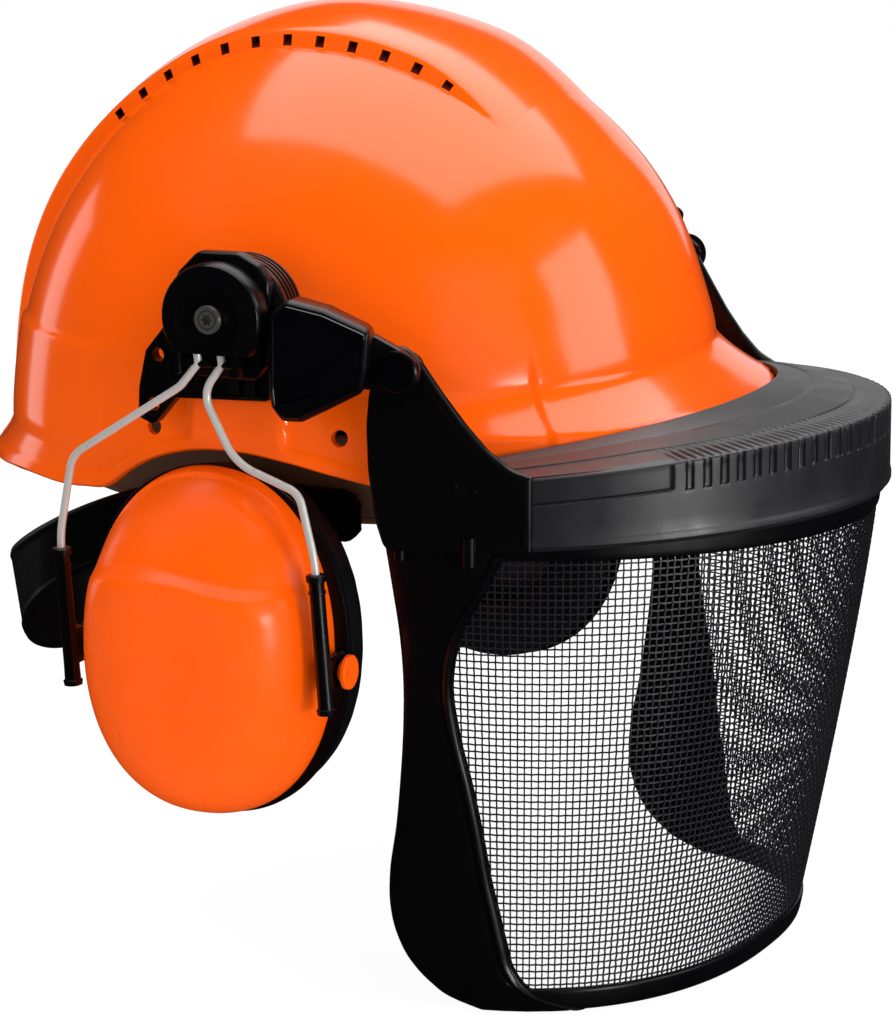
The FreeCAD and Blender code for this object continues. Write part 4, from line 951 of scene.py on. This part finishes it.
def make_cushion(name, side):
    """The sealing ring: a full, soft roll with a welded seam and the small puckers of a filled skin."""
    turn = full_turn(200)
    pucker = 0.35 * np.sin(31 * turn + 0.6) + 0.22 * np.sin(47 * turn) + 0.3 * np.sin(5 * turn + 1.0)
    rings = []
    for a in full_turn(48):
        across, along = signed_power(np.cos(a), 0.72), signed_power(np.sin(a), 0.62)
        seam = -0.7 * math.exp(-((along + 0.35) / 0.07) ** 2) * np.sign(across)
        grow = across * CUSHION_HALF - 10.4
        soft = 0.45 * max(0.0, along) * (1 if across > 0 else 0.7)
        x = np.maximum(CUSHION_IN + 0.35 + 7.1 * (1 - along) + soft * pucker, CUSHION_IN)
        rings.append(oval_ring(x, BASE_Y, 44.4 + grow + seam, 54.4 + grow + seam, turn))
    obj = add_side("cushion_ring_", name, side, loft(rings, True), "cushion_", 60.0, SKIN,
                   "ear_cup_")


def make_foam(name, side):
    """The sound-absorbing insert: a soft slab with rounded edges and shallow dimples."""
    turn = full_turn(120)
    rings = []
    near, far = BASE_OUT + 0.4, BASE_OUT + 15.8
    edges = [(far, 0.0), (far, 0.9), (far - 1.5, 0.98), (near + 2.5, 1.0)]
    for x, share in edges + [(None, share) for share in np.linspace(0.99, 0.02, 26)]:
        y, z = oval(33.0 * share, 44.0 * share, turn, 2.0)
        if x is None:
            sink = 1.6 * smooth(0.86, 1.0, share) + 0.5 * np.sin(y / 3.2) * np.sin(z / 3.2)
            x = near + np.maximum(sink, 0.0)
        rings.append(ring_at(x, CUP_Y + y, CUP_Z + z))
    obj = add_side("foam_slab_", name, side, loft(rings), "foam_", 38.0, FOAM, "ear_cup_")


SLEEVE_LOW, SLEEVE_HIGH, EYE_RADIUS = -66.5, -22.5, 6.0
SLEEVE_STEPS = (from_base(SLEEVE_LOW, ((0.0, 2.2), (0.25, 2.9), (1.8, 3.1), (2.1, 2.6), (6.0, 2.5)))
                + from_base(SLEEVE_HIGH, ((-6.2, 2.4), (-6.0, 2.75), (-5.2, 2.75), (-5.0, 2.4), (-2.4, 2.45),
                                          (-2.2, 3.1), (-0.4, 3.2), (0.0, 2.7))))


def make_sleeves(name, side):
    """The tubes on the wire legs, ribbed at both ends, with the arm and eye that carry the cup."""
    for place, end in (("front", -1), ("rear", 1)):
        shaft = tube([(LEG_X, end * LEG_Y + LEG_SLOPE * (z - TILT_Z), z) for z, _ in SLEEVE_STEPS],
                     [r for _, r in SLEEVE_STEPS], 32)
        near, far = sorted((end * (LEG_Y - 1.6), end * (LEG_Y + 1.4)))
        arm = box((TILT_X, near, TILT_Z - 5.4), (LEG_X - 0.3, far, TILT_Z + 5.4), 0.9)
        eye = rod_across(TILT_X, TILT_Z, ((near, EYE_RADIUS - 0.6), (near + 0.5, EYE_RADIUS),
                                          (far - 0.5, EYE_RADIUS), (far, EYE_RADIUS - 0.6)), 48)
        add_side("sleeve_shape_%s_" % place, name, side, merged(shaft, arm, eye),
                 "sleeve_%s_" % place, body="muff_slider_")


for name, side in SIDES:
    for make in (make_cup, make_base, make_cushion, make_foam, make_sleeves):
        make(name, side)


# ---------------------------------------------------------------- visor
ARM_IN, ARM_OUT = 110.4, 113.4
ARM = ((-57.0, 44.5), (-63.6, 48.0), (-69.5, 42.5), (-76.0, 33.0), (-82.5, 24.0), (-89.0, 16.4),
       (-96.0, 10.4), (-102.4, 8.0), (-102.4, -15.4), (-92.0, -15.9), (-57.5, -16.5),
       (-54.5, -8.0), (-52.0, 8.0), (-51.5, 22.0), (-52.5, 33.0))
GUARD_HALF, GUARD_SIDE, GUARD_FRONT, GUARD_REAR = 110.4, -68.0, -176.0, -58.0
GUARD_POWER, GUARD_WALL, BRIM_GAP = 1.85, 2.3, 1.8
SLOT_PITCH, RIB_PITCH, LABEL_LENGTH = 6.0, 3.0, 49.0
RIBBED_HALF = 14.5 * SLOT_PITCH
CLIP_PLACES = ((-79.0, 4.5), (-84.6, 3.2))
FRAME_TOP, FRAME_BOTTOM, FRAME_LOW, PANEL_WALL = -17.0, -162.0, -165.4, 2.6
MESH_PITCH, WIRE_RADIUS, WEAVE = 2.24, 0.32, 0.30


def superellipse(half, side_y, front_y, power, count=400):
    """Plan points from the left side, round the front, to the right."""
    turn = np.linspace(math.pi / 2, -math.pi / 2, count)
    return np.column_stack([half * signed_power(np.sin(turn), 2 / power),
                            side_y + (front_y - side_y) * np.abs(np.cos(turn)) ** (2 / power)])


def even(points, count):
    """The same line with evenly spaced points."""
    run = np.concatenate([[0], np.cumsum(np.linalg.norm(np.diff(points, axis=0), axis=1))])
    at = np.linspace(0, run[-1], count)
    return np.column_stack([np.interp(at, run, points[:, 0]), np.interp(at, run, points[:, 1])])


def left_at(line, y):
    """How far to the left a plan line is at a place."""
    left = line[line[:, 0] > 0]
    return np.interp(-y, -left[:, 1], left[:, 0])


def in_front(points, y_end):
    """The part of a plan line in front of a place, with both ends exactly there."""
    kept = points[points[:, 1] < y_end]
    x = left_at(points, y_end)
    return np.vstack([[x, y_end], kept, [-x, y_end]])


def line_normals(points):
    """Outward normals of a plan line that runs from the left, round the front, to the right."""
    ahead = np.gradient(points, axis=0)
    normal = np.column_stack([-ahead[:, 1], ahead[:, 0]])
    return normal / np.linalg.norm(normal, axis=1)[:, None]


def visor_plan(z):
    t = max(0.0, (FRAME_TOP - z) / (FRAME_TOP - FRAME_BOTTOM))
    half = 106.8 - 9.0 * t
    line = superellipse(half, -66.0, -172.5 + 30.0 * t ** 1.15, 1.87 + 0.43 * t)
    return np.vstack([[half, -50.0], line, [-half, -50.0]])


def arm_tuck(y):
    """How far the arm's plate moves in at a place so that it flows into the guard's side."""
    turn = np.linspace(math.pi / 2, 0.3, 200)
    line_x = GUARD_HALF * np.sin(turn) ** (2 / GUARD_POWER)
    line_y = GUARD_SIDE + (GUARD_FRONT - GUARD_SIDE) * np.cos(turn) ** (2 / GUARD_POWER)
    beside = np.interp(-y, -line_y, line_x)
    return (ARM_OUT - beside - 0.6) * smooth(-62.0, -84.0, y)


ARM_MIDDLE, ARM_FILL = np.array((-76.0, 4.0)), (0.86, 0.72, 0.58, 0.44, 0.3, 0.16, 0.03)


def tucked(edge, x):
    """An outline on the arm's tucked-in face."""
    return ring_at(x - arm_tuck(edge[:, 0]), *edge.T)


def make_arms(name, side):
    """A side plate on its knuckle pin, with a thick rolled edge and two clip heads."""
    outline = rounded_outline(ARM, (5.0, 5.0, 5.0, 30.0, 30.0, 14.0, 14.0, 0.9, 0.9, 5.0, 4.0, 20.0, 30.0,
                                    30.0, 20.0), 12)
    profile = [(ARM_IN, 0.8), (ARM_IN + 0.7, 0.0)]
    profile += from_base(ARM_OUT, ((-0.6, 0.0), (-0.15, 0.35), (0.0, 1.0), (0.0, 2.0), (-0.35, 2.5)))
    fills = [ARM_MIDDLE + (outline - ARM_MIDDLE) * share for share in ARM_FILL]
    rings = [tucked(edge, ARM_IN) for edge in fills[::-1]]
    rings += [tucked(inset(outline, depth), x) for x, depth in profile]
    rings += [tucked(edge, ARM_OUT - 0.35) for edge in fills]
    obj = add_side("arm_plate_", name, side, loft(rings), "visor_arm_", body="visor")
    bored(obj, side, turned([(x, KNUCKLE_RADIUS + 0.05) for x in (ARM_IN - 2.0, ARM_OUT + 2.0)],
                            KNUCKLE_Y, KNUCKLE_Z, 40))
    head = ((-1.2, 1.9), (-0.15, 1.9), (0.15, 1.5), (0.15, 0.8), (-0.3, 0.6))
    heads = [turned(from_base(ARM_OUT - float(arm_tuck(y)), head), y, z, 32) for y, z in CLIP_PLACES]
    add_side("arm_clips_", name, side, merged(*heads), "visor_arm_", finish=SATIN_BLACK, body="visor")


def make_guard():
    """The brow guard: a broad top round the brim, ribbed at its edge, over a skirt with moulded slots."""
    count = 1440
    outer = superellipse(GUARD_HALF, GUARD_SIDE, GUARD_FRONT, GUARD_POWER)
    outer = even(np.vstack([[GUARD_HALF, GUARD_REAR], outer, [-GUARD_HALF, GUARD_REAR]]), count)
    brim = superellipse(HALF_WIDTH + SIDE_FLARE[2] + BRIM_GAP, 0.0, -(FRONT_REACH + BRIM[2] + BRIM_GAP),
                        PLAN_POWER)
    inner = even(in_front(brim, GUARD_REAR), count)
    normal = line_normals(outer)
    run = np.linspace(0, np.linalg.norm(np.diff(outer, axis=0), axis=1).sum(), count)
    rings = []
    for k in range(count):
        (xo, yo), (xi, yi), (nx, ny) = outer[k], inner[k], normal[k]
        s = run[k] - run[-1] / 2
        beyond = abs(s) - RIBBED_HALF
        top = 6.6 + 0.1 * max(0.0, -92.0 - yo)
        rim = 9.0 + 9.5 * max(0.0, (-78.0 - yi) / 54.0)
        floor = -15.5 + 0.04 * max(0.0, -92.0 - yo)
        ribbed = float(smooth(1.0, -1.0, beyond))
        off_slot = abs((s + SLOT_PITCH / 2) % SLOT_PITCH - SLOT_PITCH / 2)
        slot = ribbed * float(smooth(1.60, 1.25, off_slot)) * (1 - 0.55 * float(smooth(0.9, 0.55, off_slot)))
        rib = ribbed * (0.5 + 0.5 * math.cos(2 * math.pi * s / RIB_PITCH)) ** 2.2
        label = float(smooth(2.4, 3.2, beyond) * smooth(LABEL_LENGTH + 0.8, LABEL_LENGTH, beyond))
        frame_line = math.exp(-((beyond - 2.8) / 0.5) ** 2)
        skirt = []
        for level in (0.0, 0.5, 1.4, 2.6, 3.4, 4.2, 8.0, 11.0):
            lip = 0.5 * math.exp(-((level - 2.0) / 1.2) ** 2)
            skirt.append((floor + level, -0.7 if level == 0.0 else lip - 0.5 * (level < 0.6)))
        for drop in (10.6, 9.8, 9.3, 8.9, 8.5, 8.1, 7.6, 6.0, 4.0, 2.4, 1.5):
            recess = -1.1 * slot * float(smooth(9.4, 8.7, drop)) * float(smooth(0.9, 1.9, drop))
            groove = -0.6 * label * math.exp(-((drop - 8.2) / 0.35) ** 2)
            groove -= 0.7 * frame_line * (drop < 8.4)
            skirt.append((top - drop, recess + groove - 0.12 * label * (drop < 8.5)))

        def outward(distance, z):
            return xo + nx * distance, yo + ny * distance, z

        def towards_brim(share, lift):
            return xo + (xi - xo) * share, yo + (yi - yo) * share, top + (rim - top) * share + lift

        points = [outward(d - 0.5, z) for z, d in skirt]
        for back, drop in ((0.55, 0.62), (0.9, 0.2), (1.8, 0.0)):
            points.append(outward(-back - 0.7 * slot * (back < 1.0), top - drop))
        width = math.hypot(xi - xo, yi - yo)
        reach = min(12.5, 0.42 * width)
        for step in np.linspace(0.2, 1.0, 6):
            lift = -0.8 * rib * float(smooth(0.0, 0.2, step)) * (step < 0.95)
            points.append(towards_brim(step * reach / width, lift))
        for share, lift in ((0.0, 0.35), (0.45, 0.35), (0.52, 0.35), (0.56, -0.15), (0.62, 0.1), (0.9, 0.1),
                            (0.97, 0.35), (1.0, 0.3)):
            share = (reach / width) + (1 - reach / width) * share + (0.012 if share == 0.0 else 0.0)
            points.append(towards_brim(share, lift * float(smooth(4.0, 12.0, width))))
        points += [towards_brim(1.0, -GUARD_WALL), towards_brim(0.5, -GUARD_WALL),
                   outward(-GUARD_WALL - 0.6, top - GUARD_WALL), outward(-GUARD_WALL, top - GUARD_WALL - 1.0),
                   outward(-GUARD_WALL, floor + 0.4)]
        rings.append(points)
    add("guard_shape", loft(rings), GUARD_GREY, "visor", ["brow_guard"], 32.0)


PANEL_EDGES = np.array(((-17.0, -54.5, -93.0), (-30.0, -56.4, -86.5), (-45.0, -58.4, -78.5),
                        (-60.0, -59.2, -75.6), (-75.0, -58.7, -77.2), (-92.0, -57.2, -81.0),
                        (-107.0, -55.4, -83.8), (-124.0, -52.6, -86.5), (-134.0, -52.4, -88.6),
                        (-144.0, -54.6, -90.6), (-152.0, -59.0, -92.6), (-158.0, -65.2, -96.8),
                        (-162.0, -71.6, -103.0), (-165.4, -82.0, -112.0)))


def side_panel():
    """The hourglass side of the frame, with a bead along its inner edge and a rounded rear edge."""
    rings = []
    heights, *edges = PANEL_EDGES[::-1].T
    for z in np.concatenate([np.linspace(FRAME_TOP, -150.0, 90), np.linspace(-150.5, FRAME_LOW, 40)]):
        rear, front = (hermite(heights, edge, z) for edge in edges)
        width = rear - front
        steps = [(0.0, -1.9), (0.15, -0.8), (0.7, -0.2), (1.6, 0.0)]
        steps += [(share * width, 0.0) for share in (0.25, 0.5, 0.75)]
        steps += from_base(width, ((-4.2, 0.0), (-3.6, -0.45), (-3.0, -0.45), (-2.6, 0.35), (-1.6, 0.75),
                                   (-0.6, 0.35), (0.0, -0.7), (0.0, -1.9)))
        ys = rear - np.array([d for d, _ in steps])
        xs = left_at(visor_plan(z), ys)
        outer = np.column_stack([xs + [out for _, out in steps], ys, np.full(len(ys), z)])
        inner = np.column_stack([xs - PANEL_WALL, ys, np.full(len(ys), z)])[::-1]
        rings.append(np.concatenate([outer, inner]))
    return loft(rings)


def rail(z_top, z_low, wall, start_y):
    """A rail round the front with rounded edges."""
    top_line, low_line = (even(in_front(visor_plan(z), start_y), 220) for z in (z_top, z_low))
    rings = []
    for top, low, n in zip(top_line, low_line, line_normals(top_line)):
        ring = []
        for a in full_turn(24):
            up = signed_power(np.sin(a), 0.42) * 0.5 + 0.5
            out = wall / 2 * (signed_power(np.cos(a), 0.5) - 1)
            ring.append((*(low + (top - low) * up + n * out), z_low + (z_top - z_low) * up))
        rings.append(ring)
    return loft(rings)


def make_frame():
    panel = side_panel()
    frame_shape = merged(panel, mirror_points(panel), rail(-158.2, FRAME_LOW, 3.2, -86.0),
                         rail(-8.2, -19.0, 2.2, -90.0))
    add("frame_shape", frame_shape, BLACK, "visor", ["visor_frame"])


def make_mesh():
    """The woven screen: wires that pass in front of and behind each other at every crossing."""
    heights = np.arange(-18.0, -160.0, -MESH_PITCH)
    reach = in_front(visor_plan(-80.0), -76.0)
    length = np.linalg.norm(np.diff(reach, axis=0), axis=1).sum()
    count = int(round(length / MESH_PITCH)) + 1
    points, normals = np.zeros((2, len(heights), count, 3))
    for j, z in enumerate(heights):
        line = even(in_front(visor_plan(z), -76.0), count)
        out = line_normals(line)
        points[j, :, :2] = line - 1.4 * out
        points[j, :, 2] = z
        normals[j, :, :2] = out
    j, i = np.meshgrid(np.arange(len(heights)), np.arange(count), indexing="ij")
    over = np.where((i + j) % 2 == 0, WEAVE, -WEAVE)[..., None]
    sideways = np.cross(normals, (0, 0, 1))
    upright = np.broadcast_to((0.0, 0.0, 1.0), normals.shape)
    wires = []
    for path, across, climbing in ((points + normals * over, sideways, True),
                                   (points - normals * over, upright, False)):
        rings = np.stack([path + WIRE_RADIUS * (math.cos(a) * normals + math.sin(a) * across)
                          for a in np.radians((45, 135, 225, 315))], 2)
        wires += [loft(wire) for wire in (rings.swapaxes(0, 1) if climbing else rings)]
    add("woven_screen", merged(*wires), MESH_BLACK, "visor", ["visor_mesh"], 70.0)


for name, side in SIDES:
    make_arms(name, side)
make_guard()
make_frame()
make_mesh()


# ---------------------------------------------------------------- CAD nodes that show as they are
KEPT_FINISHES = {"strap_clip": BLACK, "knuckle_pin": GLOSS_BLACK, "wire_": STEEL,
                 "pivot_button": CUP_ORANGE, "frame_stud": BLACK}
for node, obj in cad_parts.items():
    for start, finish in KEPT_FINISHES.items():
        if node.startswith(start):
            obj.data.materials.clear()
            obj.data.materials.append(finish)
